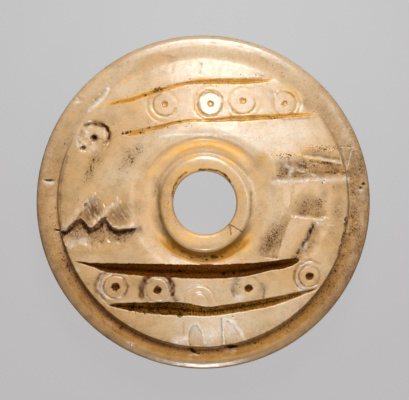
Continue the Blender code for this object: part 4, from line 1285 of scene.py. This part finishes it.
lower = np.maximum(cuts["lower_band_top"], cuts["lower_band_foot"])
upper = np.maximum(cuts["upper_band_top"], cuts["upper_band_foot"])
pocket = np.maximum.reduce([cuts[name] for name in ROUGH_CUTS])
rim_hollow = window(from_middle, FACE_RADIUS, FACE_RADIUS + 0.3,
                    WHORL_RADIUS - 1.5, WHORL_RADIUS - 0.7)
past_collar = from_bore - COLLAR_RADIUS
cove = window(past_collar, 0.5, 1.1, COVE_WIDTH - 1.0, COVE_WIDTH + 0.2)
# Painted shadow: the collar's shadow on the cove's floor below the bore, as a crescent.
cove_shadow = window(past_collar, 0, 0.2, 1.3, 1.9) * ease(-3, -6.2, y)
# Painted shadow: a band at the collar's foot below the bore, where its shadow falls.
collar_shadow = window(past_collar, -0.05, 0.15, 0.45, 1.15) * ease(-1, -4.5, y)
collar_top = ease(-0.45, -0.65, past_collar)
low_side = ease(3, -12, y)
low_rings = cuts["rings"] * ease(2, -2, y)
cloudy = 0.75 + 0.5 * ripple(x, y, 0.9, 301) + 0.35 * ripple(x, y, 0.4, 302)

# Just outside the face's edge, and with low_side towards the bottom, the rim is darkened: painted
# shadow of the face's edge, with some dirt.
under_edge = window(from_middle - FACE_RADIUS, -0.1, 0, 0.5, 1.9)
rim = ease(FACE_RADIUS, FACE_RADIUS + 0.4, from_middle)
face_side = ease(FACE_RADIUS - 1.6, FACE_RADIUS, from_middle) * ease(12, 5, y) * (1 - rim)
edge_line = np.exp(-((from_middle - FACE_RADIUS - 0.1) / 0.14) ** 2) * ease(12, 2, y)
print("points in a rough cut:", int((pocket > 0.05).sum()))

# %% Soil and brown, with painted shade
# Each row is one place: how strong the stain, and in some rows the painted shade, is there, times how
# far into it a point lies.
soil_and_shade = np.maximum.reduce([
    0.4 * ease(0.02, 0.14, cuts["lower_band_top"]),
    0.6 * ease(0.05, 0.3, cuts["lower_band_foot"]),
    0.35 * ease(0.08, 0.16, upper),
    0.2 * smoothed(spread(ease(0.02, 0.06, upper), 9), 4) * cloudy,
    # Half of this row is painted shade on walls that face away from the key light.
    0.3 * ease(0.1, 0.4, pocket) * (0.5 + 0.5 * shaded_wall),
    # Painted shade with soil in the creases of deep cuts, in the lower half only.
    0.5 * ease(0.02, 0.12, crease) * ease(0.05, 0.3, cuts["deep"]) * ease(6, 0, y),
    # Painted shadow below the face's edge at the bottom, with soil.
    0.3 * under_edge * low_side,
    0.3 * low_rings * cloudy,
    (0.12 + 0.25 * ease(2, -2, y)) * cuts["dots"],
    # Grains in the collar's painted shadow on the cove.
    0.15 * cove_shadow * cloudy,
    0.8 * ease(0.1, 0.25, cuts["nicks"]),
    spots_and_lines("soil_and_shade"),
])
brown_and_shade = np.maximum.reduce([
    # The lower grooves are made deep brown for their soil and for their painted shadow.
    ease(0.01, 0.10, cuts["lower_band_top"]) * (0.97 + 0.06 * cloudy),
    ease(0.02, 0.18, cuts["lower_band_foot"]) * (0.55 + 0.25 * ease(0, -5, x) + 0.15 * cloudy),
    0.22 * ease(0.08, 0.2, upper) * cloudy,
    0.18 * ease(0.05, 0.3, pocket) * cloudy,
    # The next two rows are painted shade on walls that face away from the key light.
    0.3 * ease(0.05, 0.3, pocket) * shaded_wall,
    0.85 * ease(0.05, 0.25, cuts["tooth_scoop"]) * shaded_wall,
    0.2 * ease(0.03, 0.2, cuts["right_scoop"]) * cloudy,
    0.3 * cuts["rings"] * ease(0, 8, y) * cloudy,
    # The next two rows darken the rim towards the bottom: painted shadow of the face's edge, with
    # dirt.
    (0.68 + 0.14 * ease(-2, -8, x)) * under_edge ** 1.2 * low_side,
    (0.05 + 0.42 * low_side) * rim * (0.75 + 0.25 * cloudy),
    # The next two rows are the collar's painted shadow on the cove.
    0.44 * cove_shadow,
    0.72 * collar_shadow,
    0.35 * edge_line,
    0.35 * low_rings * cloudy,
    0.95 * cuts["dots"] * ease(2, -2, y),
    0.2 * cuts["dots"],
    0.5 * ease(0.1, 0.25, cuts["nicks"]),
    spots_and_lines("brown_and_shade"),
])
print("soil:", round(soil_and_shade.mean(), 2), "brown:", round(brown_and_shade.mean(), 2))

# %% Honey, smudges, chalk and pale bone, with painted glow, shade, highlights and sheen
honey = np.maximum.reduce([
    smoothed(ease(0.01, 0.10, spread(upper, 2)), 2) * (0.62 + 0.45 * cloudy),
    0.7 * cuts["dots"],
    # Stronger towards the cove's top, where it paints the glow of light through the bone as well as
    # honey tint.
    cove * (0.13 + 0.45 * ease(4, 7.4, y)) * (0.6 + 0.5 * cloudy),
    # Deep amber in the collar's painted shadow on the cove.
    1.3 * cove_shadow,
    (0.32 + 0.1 * ease(2, -2, x) - 0.14 * ease(2, 4.5, y)) * collar_top * cloudy,
    # Warm amber under the brown in the lower grooves, for their stain and their painted shadow.
    0.95 * ease(0.05, 0.3, lower),
    1.1 * cuts["rings"] * ease(0, 8, y) * cloudy,
    # The rim's hollow is warmer and darker towards the bottom: stain and painted shade.
    rim_hollow * (0.06 + 0.95 * low_side) * (0.7 + 0.3 * cloudy),
    spots_and_lines("honey"),
])
# Smudges, and from the lines the painted shadow under the teeth.
smudge_and_shade = np.maximum.reduce([
    0.5 * ease(0.06, 0.3, pocket) * cloudy,
    0.62 * ease(0.03, 0.15, cuts["right_scoop"]) * cloudy,
    (0.10 + 0.45 * ease(13, 5, y) + 0.28 * ease(8, 16, x) - 0.4 * ease(-7, -14, y)) * rim
    * (0.5 + 0.5 * cloudy),
    (0.4 + 0.15 * ease(0, -8, x)) * face_side * cloudy,
    0.4 * low_rings,
    (0.2 + 0.16 * ease(0, -4, x)) * collar_top * ease(5, 2, np.abs(y)),
    spots_and_lines("smudge_and_shade") * (0.55 + 0.6 * cloudy),
])
# Chalky pale bone, and painted highlights on edges that catch the light.
chalk_and_highlight = np.maximum.reduce([
    0.4 * ease(0.012, 0.05, raised) * ease(0.02, 0.2, spread(pocket, 4)),
    0.3 * ease(0.03, 0.12, cuts["ropes"]),
    0.45 * ease(0.008, 0.03, raised) * spread(low_rings, 2),
    spots_and_lines("chalk_and_highlight") * (0.5 + 0.6 * cloudy),
])
chalk_and_highlight *= 1 - 0.85 * ease(0.3, 0.8, np.maximum(brown_and_shade, soil_and_shade))
pale = spots_and_lines("pale") * (0.7 + 0.35 * cloudy) * (1 - 0.6 * np.clip(honey, 0, 1))
# The lip is paler towards the top, where the key light falls: painted light.
pale += 0.25 * ease(WHORL_RADIUS - 1.3, WHORL_RADIUS - 0.7, from_middle) * ease(0, 8, y)
print("honey:", round(honey.mean(), 2), "smudge:", round(smudge_and_shade.mean(), 2))

# %% Gloss
gloss = 1 - np.maximum.reduce([
    ease(0.05, 0.4, cuts["deep"]), 0.45 * rim_hollow * (0.4 + 0.6 * low_side),
    (0.5 + 0.22 * ease(2, 6, y)) * cove,
    0.8 * np.clip(smudge_and_shade, 0, 1), 0.6 * chalk_and_highlight, np.clip(brown_and_shade, 0, 1),
    0.8 * ease(0.02, 0.08, cuts["ropes"]) * ease(-4, -8, x)])
gloss *= 1 - 0.85 * ease(12, 15, y) * ease(FACE_RADIUS - 0.4, FACE_RADIUS - 0.1, from_middle)
gloss *= (1 - 0.6 * collar_top * ease(4, -2, x)) * (1 - 0.8 * cove_shadow)
gloss *= 1 - 0.36 * ease(9, 14, y) * ease(FACE_RADIUS, FACE_RADIUS - 0.6, from_middle)
low_crest = np.exp(-((past_collar + 0.2) / 0.5) ** 2) * ease(-2, -4, y)
gloss *= 1 - 0.3 * low_crest
lip = ease(WHORL_RADIUS - 1.3, WHORL_RADIUS - 0.9, from_middle) * ease(14, 8, np.abs(x))
gloss += 0.85 * lip
FINISH = {"soil_and_shade": soil_and_shade, "brown_and_shade": brown_and_shade, "honey": honey, "smudge_and_shade": smudge_and_shade, "chalk_and_highlight": chalk_and_highlight,
          "pale": pale}
FINISH = {name: np.clip(values, 0, 1) for name, values in FINISH.items()}
FINISH["gloss"] = np.clip(gloss, 0, 1.85)
print("masks:", ", ".join(f"{name} {values.mean():.2f}" for name, values in FINISH.items()))

# %% [markdown]
# ## Which points stay
#
# The fine mesh is dense where the surface bends or where a stain has an edge, and
# it is coarse on the smooth field between.

# %% Choice of points


def unevenness(values):
    """How much each value differs from the mean of its neighbours."""
    return np.abs(values - sum(around(values)) / 6)


flat_radius = np.hypot(flat_x, flat_y)
usable = (flat_radius > START_RADIUS + 0.8 * CELL) & (flat_radius < END_RADIUS - 0.8 * CELL)
bend = sum(unevenness(values) for values in (x, y, height))
contrast = sum(unevenness(FINISH[name]) for name in ("soil_and_shade", "brown_and_shade", "smudge_and_shade", "honey", "chalk_and_highlight"))
detail = bend / bend[usable].mean() + 0.7 * contrast / contrast[usable].mean()
detail = smoothed(spread(detail, 1), 2) * usable
every_second = (row % 2 == 0) & (column % 2 == 0)
every_fourth = (row % 4 == 0) & (column % 4 == 0)


def busiest(candidates, count):
    """Those of the candidates with the most detail."""
    limit = np.partition(detail[candidates], -count)[-count]
    return candidates & (detail >= limit)


fine = busiest(usable, FINE_POINTS)
middle = busiest(usable & every_second & ~fine, MIDDLE_POINTS)
chosen = fine | middle | (every_fourth & usable)
print("kept:", int(fine.sum()), "fine,", int(middle.sum()), "middle,", int(chosen.sum()), "in all")

# %% [markdown]
# ## Knitting the mesh
#
# The chosen points are joined by a Delaunay triangulation, which gives the roundest
# triangles that scattered points allow. Two rings of points close the upper surface
# off, one in the bore and one on the side. From those rings the plainer parts go
# on: rows of a turned side and bore, and a second, coarser net for the underside.

# %% Triangles
SIDE_POINTS = 480
BORE_POINTS = 240
SIDE_ROWS = 21
BORE_ROWS = 17
SAME_POINT = 1e-7                      # points closer than this, in mm, count as one


def ring_points(radius, count):
    """Points evenly round a circle in the flat layout."""
    turn = np.arange(count) * 2 * pi / count
    return np.column_stack([radius * np.cos(turn), radius * np.sin(turn)])


def net(points, hole_count):
    """Delaunay triangles over flat points, left open inside the last hole_count points."""
    flat = [Vector(point) for point in points]
    _, _, found, *_ = delaunay_2d_cdt(flat, [], [], 0, SAME_POINT, False)
    triangles = np.array(found)
    in_hole = (triangles >= len(points) - hole_count).all(axis=1)
    return triangles[~in_hole]


inner_ring = ring_points(START_RADIUS, BORE_POINTS)
outer_ring = ring_points(END_RADIUS, SIDE_POINTS)
field = np.column_stack([flat_x[chosen], flat_y[chosen]])
top_flat = np.vstack([field, outer_ring, inner_ring])
top_faces = net(top_flat, BORE_POINTS)

ring_x, ring_y, ring_height = lay_out(*np.vstack([outer_ring, inner_ring]).T)
top_places = np.column_stack([
    np.concatenate([x[chosen], ring_x]),
    np.concatenate([y[chosen], ring_y]),
    np.concatenate([height[chosen], ring_height]),
])
print("upper surface:", len(top_faces), "triangles")

# %% Side, underside and bore
UNDER_CELL = 0.5
UNDER_RADIUS = WHORL_RADIUS - FOOT_ROUND
MOUTH_RADIUS = BORE_RADIUS + BORE_MOUTH


def travel_at(test):
    """First place along the profile where a test holds."""
    return TRAVEL[np.argmax(test(PROFILE[:, 0], PROFILE[:, 1]))]


def build_mesh():
    """All the points and faces, with shared rows where the patches meet."""
    places = [top_places]
    faces = [top_faces]
    total = len(top_places)
    outer = np.arange(SIDE_POINTS) + total - SIDE_POINTS - BORE_POINTS
    inner = np.arange(BORE_POINTS) + total - BORE_POINTS

    def add_rows(start_ring, travel_stops, count, outward):
        nonlocal total
        turn = np.arange(count) * 2 * pi / count
        ring = start_ring
        for travel in travel_stops:
            radius = np.interp(travel, TRAVEL, PROFILE[:, 0])
            level = np.interp(travel, TRAVEL, PROFILE[:, 1])
            aside = ease(*AXIS_FADE, radius)
            across = radius * np.cos(turn) + BORE_PLACE[0] * aside
            up = radius * np.sin(turn) + BORE_PLACE[1] * aside
            places.append(np.column_stack([across, up, np.full(count, level)]))
            following = np.arange(count) + total
            total += count
            a, b = ring, np.roll(ring, -1)
            c, d = following, np.roll(following, -1)
            halves = ([a, c, d], [a, d, b]) if outward else ([a, d, c], [a, b, d])
            faces.extend(np.column_stack(half) for half in halves)
            ring = following
        return ring

    foot_end = travel_at(lambda radius, level: (radius > UNDER_RADIUS - 0.1) & (level < 0.01))
    side_stops = np.linspace(top_end, foot_end, SIDE_ROWS + 1)[1:]
    under_outer = add_rows(outer, side_stops, SIDE_POINTS, True)
    bore_low = TRAVEL[-1] - BORE_MOUTH * 1.6
    mouth_stops = np.linspace(TRAVEL[-1] + top_start, bore_low, BORE_ROWS + 1)[1:]
    wrapped = np.mod(mouth_stops, TRAVEL[-1])
    under_inner = add_rows(inner, wrapped, BORE_POINTS, False)

    reach = int(UNDER_RADIUS / UNDER_CELL) + 2
    under_row, under_column = np.mgrid[-reach:reach + 1, -2 * reach:2 * reach + 1]
    across = ((under_column + under_row / 2) * UNDER_CELL).ravel()
    up = (under_row * UNDER_CELL * sqrt(0.75)).ravel()
    outer_places = np.vstack(places)[under_outer]
    inner_places = np.vstack(places)[under_inner]
    limit = np.hypot(*outer_places[0][:2]) - 0.6 * UNDER_CELL
    bore_gap = np.hypot(across - BORE_PLACE[0], up - BORE_PLACE[1])
    keep = (np.hypot(across, up) < limit) & (bore_gap > MOUTH_RADIUS + 0.7 * UNDER_CELL)
    across, up = across[keep], up[keep]
    dents = np.clip(0.03 + 0.03 * ripple(across, up, 2.4, 31), 0, None)
    under_places = np.column_stack([across, up, dents])
    count = len(across)
    flat = np.vstack([under_places[:, :2], outer_places[:, :2], inner_places[:, :2]])
    numbers = np.concatenate([np.arange(count) + total, under_outer, under_inner])
    places.append(under_places)
    faces.append(numbers[net(flat, BORE_POINTS)][:, ::-1])
    return np.vstack(places), np.vstack(faces)


mesh_places, mesh_faces = build_mesh()
print("whole whorl:", len(mesh_faces), "triangles")

# %% The whorl


def make_whorl():
    """The fine mesh as an object, with one stored number a point for each mask."""
    mesh = bpy.data.meshes.new("carved_whorl")
    mesh.from_pydata((mesh_places * MM).tolist(), [], mesh_faces.tolist())
    mesh.validate()
    for name, values in FINISH.items():
        layer = mesh.attributes.new(name, "FLOAT", "POINT")
        stored = np.zeros(len(mesh_places), np.float32)
        stored[:len(field)] = values[chosen]
        layer.data.foreach_set("value", stored)
    mesh.shade_smooth()
    piece = bpy.data.objects.new("carved_whorl", mesh)
    bpy.context.scene.collection.objects.link(piece)
    return piece


whorl = make_whorl()
print(whorl.name + ":", len(whorl.data.vertices), "points")

# %% [markdown]
# ## The bone finish
#
# Old bone is cream with honey and olive clouds in it. Light goes a little way in,
# so shadows in the cuts turn warm. Each effect is a node group with its own inputs.

# %% Small helpers for nodes


def put(tree, kind, values=None, **settings):
    """Add a node, fill or link its inputs, and return it."""
    node = tree.nodes.new(kind)
    for name, value in settings.items():
        setattr(node, name, value)
    for name, value in (values or {}).items():
        if isinstance(value, bpy.types.NodeSocket):
            tree.links.new(value, node.inputs[name])
        else:
            node.inputs[name].default_value = value
    return node


def new_group(name, inputs, outputs):
    """Node group with named sockets. Returns its tree, its input node and its output node."""
    tree = bpy.data.node_groups.new(name, "ShaderNodeTree")
    for label, (kind, value) in inputs.items():
        socket = tree.interface.new_socket(label, in_out="INPUT", socket_type=kind)
        if value is not None:
            socket.default_value = value
    for label, kind in outputs.items():
        tree.interface.new_socket(label, in_out="OUTPUT", socket_type=kind)
    return tree, tree.nodes.new("NodeGroupInput"), tree.nodes.new("NodeGroupOutput")


MIX_SHARE, MIX_FIRST, MIX_SECOND, MIX_RESULT = 0, 6, 7, 2      # a Mix node's colour sockets


def blend(tree, share, first, second):
    """Colour between two colours."""
    values = {MIX_SHARE: share, MIX_FIRST: first, MIX_SECOND: second}
    return put(tree, "ShaderNodeMix", values, data_type="RGBA").outputs[MIX_RESULT]


def math(tree, operation, first, second=0.0, third=None):
    """One step of arithmetic."""
    values = {0: first, 1: second}
    if third is not None:
        values[2] = third
    return put(tree, "ShaderNodeMath", values, operation=operation).outputs[0]


def between(tree, value, start, end, first=0.0, last=1.0):
    """Smooth rise from first to last as a value goes from start to end."""
    node = put(tree, "ShaderNodeMapRange", {"Value": value, "From Min": start, "From Max": end,
                                            "To Min": first, "To Max": last},
               interpolation_type="SMOOTHSTEP")
    return node.outputs["Result"]


def noise(tree, where, scale, detail=2.0, roughness=0.5):
    """Cloudy values from 0 to 1."""
    node = put(tree, "ShaderNodeTexNoise", {"Vector": where, "Scale": scale, "Detail": detail,
                                            "Roughness": roughness})
    return node.outputs["Fac"]


# %% Clouds, grains and crumbs
COLOUR, NUMBER, PLACE = "NodeSocketColor", "NodeSocketFloat", "NodeSocketVector"


def clouded_bone():
    """Cream bone with warm and olive clouds, paler where the pale mask paints pale bone and polished
    sheen.
    """
    tree, given, result = new_group("clouded_bone", {
        "Where": (PLACE, None), "Pale": (NUMBER, 0.0),
        "Cream": (COLOUR, (0.8, 0.6, 0.4, 1)), "Warm": (COLOUR, (0.7, 0.45, 0.22, 1)),
        "Olive": (COLOUR, (0.6, 0.45, 0.22, 1)), "Pale And Sheen": (COLOUR, (0.9, 0.8, 0.6, 1)),
        "Cloud Scale": (NUMBER, 150.0)}, {"Color": COLOUR})
    where, scale = given.outputs["Where"], given.outputs["Cloud Scale"]
    wide = noise(tree, where, scale, 3, 0.55)
    small = noise(tree, where, math(tree, "MULTIPLY", scale, 5.3), 3, 0.65)
    grain = noise(tree, where, math(tree, "MULTIPLY", scale, 19.0), 4, 0.75)
    warm = math(tree, "MULTIPLY", between(tree, wide, 0.40, 0.65), 0.85)
    olive = math(tree, "MULTIPLY", between(tree, small, 0.42, 0.68), 0.6)
    dusty = math(tree, "MULTIPLY", between(tree, grain, 0.42, 0.68), 0.55)
    clouded = blend(tree, warm, given.outputs["Cream"], given.outputs["Warm"])
    mottled = blend(tree, olive, clouded, given.outputs["Olive"])
    # Paler where the pale mask paints pale bone and the polished sheen.
    paled_and_sheened = blend(tree, given.outputs["Pale"], mottled, given.outputs["Pale And Sheen"])
    dusted = blend(tree, dusty, paled_and_sheened, mottled)
    fine = noise(tree, where, math(tree, "MULTIPLY", scale, 42.0), 2, 0.6)
    speckled = math(tree, "MULTIPLY", between(tree, fine, 0.45, 0.75), 0.2)
    tree.links.new(blend(tree, speckled, dusted, (0.30, 0.18, 0.08, 1)), result.inputs["Color"])
    return tree


def dark_grains():
    """Broken dark grains that spread and close up as their amount rises."""
    tree, given, result = new_group("dark_grains", {
        "Where": (PLACE, None), "Amount": (NUMBER, 0.0), "Grain Scale": (NUMBER, 3000.0)},
        {"Mask": NUMBER})
    where, scale = given.outputs["Where"], given.outputs["Grain Scale"]
    grain = noise(tree, where, scale, 2, 0.6)
    clump = noise(tree, where, math(tree, "MULTIPLY", scale, 0.22), 2, 0.5)
    level = math(tree, "MULTIPLY_ADD", clump, 0.3, grain)
    needed = math(tree, "MULTIPLY_ADD", given.outputs["Amount"], -0.36, 0.86)
    above = math(tree, "SUBTRACT", level, needed)
    tree.links.new(between(tree, above, -0.02, 0.10), result.inputs["Mask"])
    return tree


def worn_surface():
    """Height of fine scratches everywhere and of crumbs where the bone is rough."""
    tree, given, result = new_group("worn_surface", {
        "Where": (PLACE, None), "Rough": (NUMBER, 0.0), "Grain Scale": (NUMBER, 900.0)},
        {"Height": NUMBER})
    where, scale = given.outputs["Where"], given.outputs["Grain Scale"]
    total = None
    for turn, stretch in ((62, 8.0), (118, 6.0), (152, 9.0)):
        mapped = put(tree, "ShaderNodeMapping", {"Vector": where, "Rotation": (0, 0, radians(turn)),
                                                 "Scale": (1, stretch, 1)}).outputs[0]
        line = between(tree, noise(tree, mapped, scale, 1, 0.5), 0.6, 0.8)
        total = line if total is None else math(tree, "ADD", total, line)
    grain = noise(tree, where, math(tree, "MULTIPLY", scale, 4.0), 3, 0.6)
    crumbs = noise(tree, where, math(tree, "MULTIPLY", scale, 3.2), 3, 0.65)
    fine = math(tree, "MULTIPLY_ADD", grain, 1.4, total)
    amount = math(tree, "MULTIPLY", given.outputs["Rough"], 9.0)
    tree.links.new(math(tree, "MULTIPLY_ADD", crumbs, amount, fine), result.inputs["Height"])
    return tree


BONE_CLOUDS = clouded_bone()
DARK_GRAINS = dark_grains()
WORN_SURFACE = worn_surface()
print("node groups:", BONE_CLOUDS.name, DARK_GRAINS.name, WORN_SURFACE.name)

# %% The material
CREAM = (0.745, 0.492, 0.255, 1)
WARM = (0.72, 0.425, 0.175, 1)
OLIVE = (0.55, 0.345, 0.14, 1)
# The pale colour also paints the polished sheen; the smudge, brown and soil colours also paint shade;
# the chalk colour also paints highlights.
PALE_AND_SHEEN = (0.85, 0.70, 0.52, 1)
HONEY = (0.90, 0.53, 0.17, 1)
AMBER = (0.68, 0.31, 0.035, 1)
SMUDGE_AND_SHADE = (0.33, 0.19, 0.09, 1)
BROWN_AND_SHADE = (0.11, 0.028, 0.001, 1)
SOIL_AND_SHADE = (0.10, 0.038, 0.007, 1)
PACKED_SOIL_AND_SHADE = (0.012, 0.003, 0.0005, 1)
CHALK_AND_HIGHLIGHT = (0.93, 0.83, 0.72, 1)
CLOUD_SCALE = 140.0                    # lumps of noise in a metre
PATCH_SCALE = 700.0
STREAK_SCALE = 3600.0
GRAIN_SCALE = 5200.0
SCRATCH_SCALE = 900.0
COAT_SCALE = 1700.0
BUMP_STRENGTH = 0.35
BUMP_HEIGHT = 0.00003                  # in metres
POLISH = {
    "Coat Roughness": 0.31, "Coat IOR": 1.8, "IOR": 1.5, "Specular IOR Level": 0.02,
    "Subsurface Weight": 0.4, "Subsurface Radius": (1.0, 0.42, 0.14),
    "Subsurface Scale": 0.0005,
}


def use(tree, group, values):
    """Place a node group in a material and fill its inputs."""
    return put(tree, "ShaderNodeGroup", values, node_tree=group)


def polished_bone():
    """The whole finish: clouds, honey, smudges, brown, specks of soil, chalk and gloss, with painted
    shade, glow, highlights and sheen among them.
    """
    material = bpy.data.materials.new("polished_bone")
    material.use_nodes = True
    tree = material.node_tree
    shader = tree.nodes["Principled BSDF"]
    where = put(tree, "ShaderNodeTexCoord").outputs["Object"]
    masks = {name: put(tree, "ShaderNodeAttribute", attribute_name=name).outputs["Fac"]
             for name in FINISH}

    clouds = use(tree, BONE_CLOUDS, {
        "Where": where, "Pale": masks["pale"], "Cream": CREAM, "Warm": WARM, "Olive": OLIVE,
        "Pale And Sheen": PALE_AND_SHEEN, "Cloud Scale": CLOUD_SCALE}).outputs["Color"]
    patchy = between(tree, noise(tree, where, PATCH_SCALE, 3, 0.6), 0.2, 0.65, 0.75, 1.1)
    # The honey mask also carries the painted glow at the cove's top and, as deep amber, the collar's
    # painted shadow.
    deepness = math(tree, "MULTIPLY", masks["honey"], patchy)
    light_honey_and_glow = between(tree, deepness, 0.0, 0.6)
    deep_amber_and_shadow = between(tree, deepness, 0.45, 1.05)
    honeyed = blend(tree, deep_amber_and_shadow, blend(tree, light_honey_and_glow, clouds, HONEY), AMBER)
    streaky = between(tree, noise(tree, where, STREAK_SCALE, 4, 0.75), 0.34, 0.64, 0.4, 1.2)
    # The smudge and brown masks darken for grime and soil, and also paint shade.
    smudged_and_shaded = blend(tree, math(tree, "MULTIPLY", masks["smudge_and_shade"], streaky), honeyed, SMUDGE_AND_SHADE)
    veil = math(tree, "MULTIPLY", masks["brown_and_shade"], between(tree, streaky, 0.4, 1.2, 0.95, 1.0))
    veiled = blend(tree, veil, smudged_and_shaded, BROWN_AND_SHADE)
    # Dark grains where there is soil, thicker where the masks paint shade.
    dirt_and_shade = math(tree, "MULTIPLY_ADD", masks["smudge_and_shade"], 0.35, masks["soil_and_shade"])
    dirt_and_shade = math(tree, "ADD", dirt_and_shade, 0.03)
    grains = use(tree, DARK_GRAINS, {"Where": where, "Amount": dirt_and_shade, "Grain Scale": GRAIN_SCALE})
    speck = blend(tree, masks["brown_and_shade"], SOIL_AND_SHADE, PACKED_SOIL_AND_SHADE)
    soiled_and_shaded = blend(tree, math(tree, "MULTIPLY", grains.outputs["Mask"], 0.9), veiled, speck)
    # Whitening for chalky bone and for painted highlights.
    whitened = blend(tree, math(tree, "MULTIPLY", masks["chalk_and_highlight"], streaky), soiled_and_shaded, CHALK_AND_HIGHLIGHT)
    tree.links.new(whitened, shader.inputs["Base Color"])

    dull = math(tree, "MULTIPLY_ADD", masks["gloss"], -0.38, 0.80)
    dull = math(tree, "MULTIPLY_ADD", masks["brown_and_shade"], 0.3, dull)
    uneven = math(tree, "MULTIPLY_ADD", noise(tree, where, SCRATCH_SCALE, 3, 0.6), 0.14, -0.07)
    tree.links.new(math(tree, "ADD", dull, uneven), shader.inputs["Roughness"])

    crumbly = math(tree, "MAXIMUM", masks["smudge_and_shade"], masks["chalk_and_highlight"])
    worn_height = use(tree, WORN_SURFACE, {"Where": where, "Rough": crumbly,
                                           "Grain Scale": SCRATCH_SCALE}).outputs["Height"]
    bump = put(tree, "ShaderNodeBump", {"Height": worn_height, "Strength": BUMP_STRENGTH,
                                        "Distance": BUMP_HEIGHT})
    tree.links.new(bump.outputs["Normal"], shader.inputs["Normal"])
    patches = between(tree, noise(tree, where, COAT_SCALE, 3, 0.6), 0.34, 0.62, 0.65, 1.1)
    coat = math(tree, "MULTIPLY", math(tree, "MINIMUM", masks["gloss"], 1.0), patches)
    clean = math(tree, "MULTIPLY_ADD", grains.outputs["Mask"], -0.9, 1.0)
    tree.links.new(math(tree, "MULTIPLY", coat, clean), shader.inputs["Coat Weight"])
    for name, value in POLISH.items():
        shader.inputs[name].default_value = value
    return material


whorl.data.materials.append(polished_bone())
print("materials:", [slot.name for slot in whorl.data.materials])

# %% [markdown]
# ## The table
#
# A plain dark sheet that glows pale for the camera, so that it stays even and the
# whorl throws only a trace of shadow on it.

# %% Pale table
TABLE_SIZE = 3.0
TABLE_COLOUR = (0.03, 0.03, 0.03, 1)
TABLE_ROUGHNESS = 0.9
TABLE_LIGHT = (0.584, 0.584, 0.584, 1)
TABLE_DIM = (0.497, 0.483, 0.488, 1)
LIGHT_PLACE = (0.003, 0.025, 0.0)      # where the sheet glows most
GLOW_REACH = 0.056
GLOW_CAST = 0.12                       # glow that falls on the whorl
GLOW_SEEN = 0.85                       # and what the camera sees beyond it


def make_table():
    """Pale sheet under the whorl that glows for the camera and hardly for the whorl."""
    bpy.ops.mesh.primitive_plane_add(size=TABLE_SIZE)
    table = bpy.context.object
    table.name = "table"
    material = bpy.data.materials.new("pale_table")
    material.use_nodes = True
    tree = material.node_tree
    shader = tree.nodes["Principled BSDF"]
    shader.inputs["Base Color"].default_value = TABLE_COLOUR
    shader.inputs["Roughness"].default_value = TABLE_ROUGHNESS
    shader.inputs["Specular IOR Level"].default_value = 0.0
    where = put(tree, "ShaderNodeTexCoord").outputs["Object"]
    away = put(tree, "ShaderNodeVectorMath", {0: where, 1: LIGHT_PLACE}, operation="DISTANCE")
    share = between(tree, away.outputs["Value"], 0.0, GLOW_REACH)
    tree.links.new(blend(tree, share, TABLE_LIGHT, TABLE_DIM), shader.inputs["Emission Color"])
    seen = put(tree, "ShaderNodeLightPath").outputs["Is Camera Ray"]
    strength = math(tree, "MULTIPLY_ADD", seen, GLOW_SEEN, GLOW_CAST)
    tree.links.new(strength, shader.inputs["Emission Strength"])
    table.data.materials.append(material)
    return table


make_table()
print("table:", TABLE_SIZE, "m wide")

# %% Hand over to the frame
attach(whorl, "root")
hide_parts("spindle_whorl")
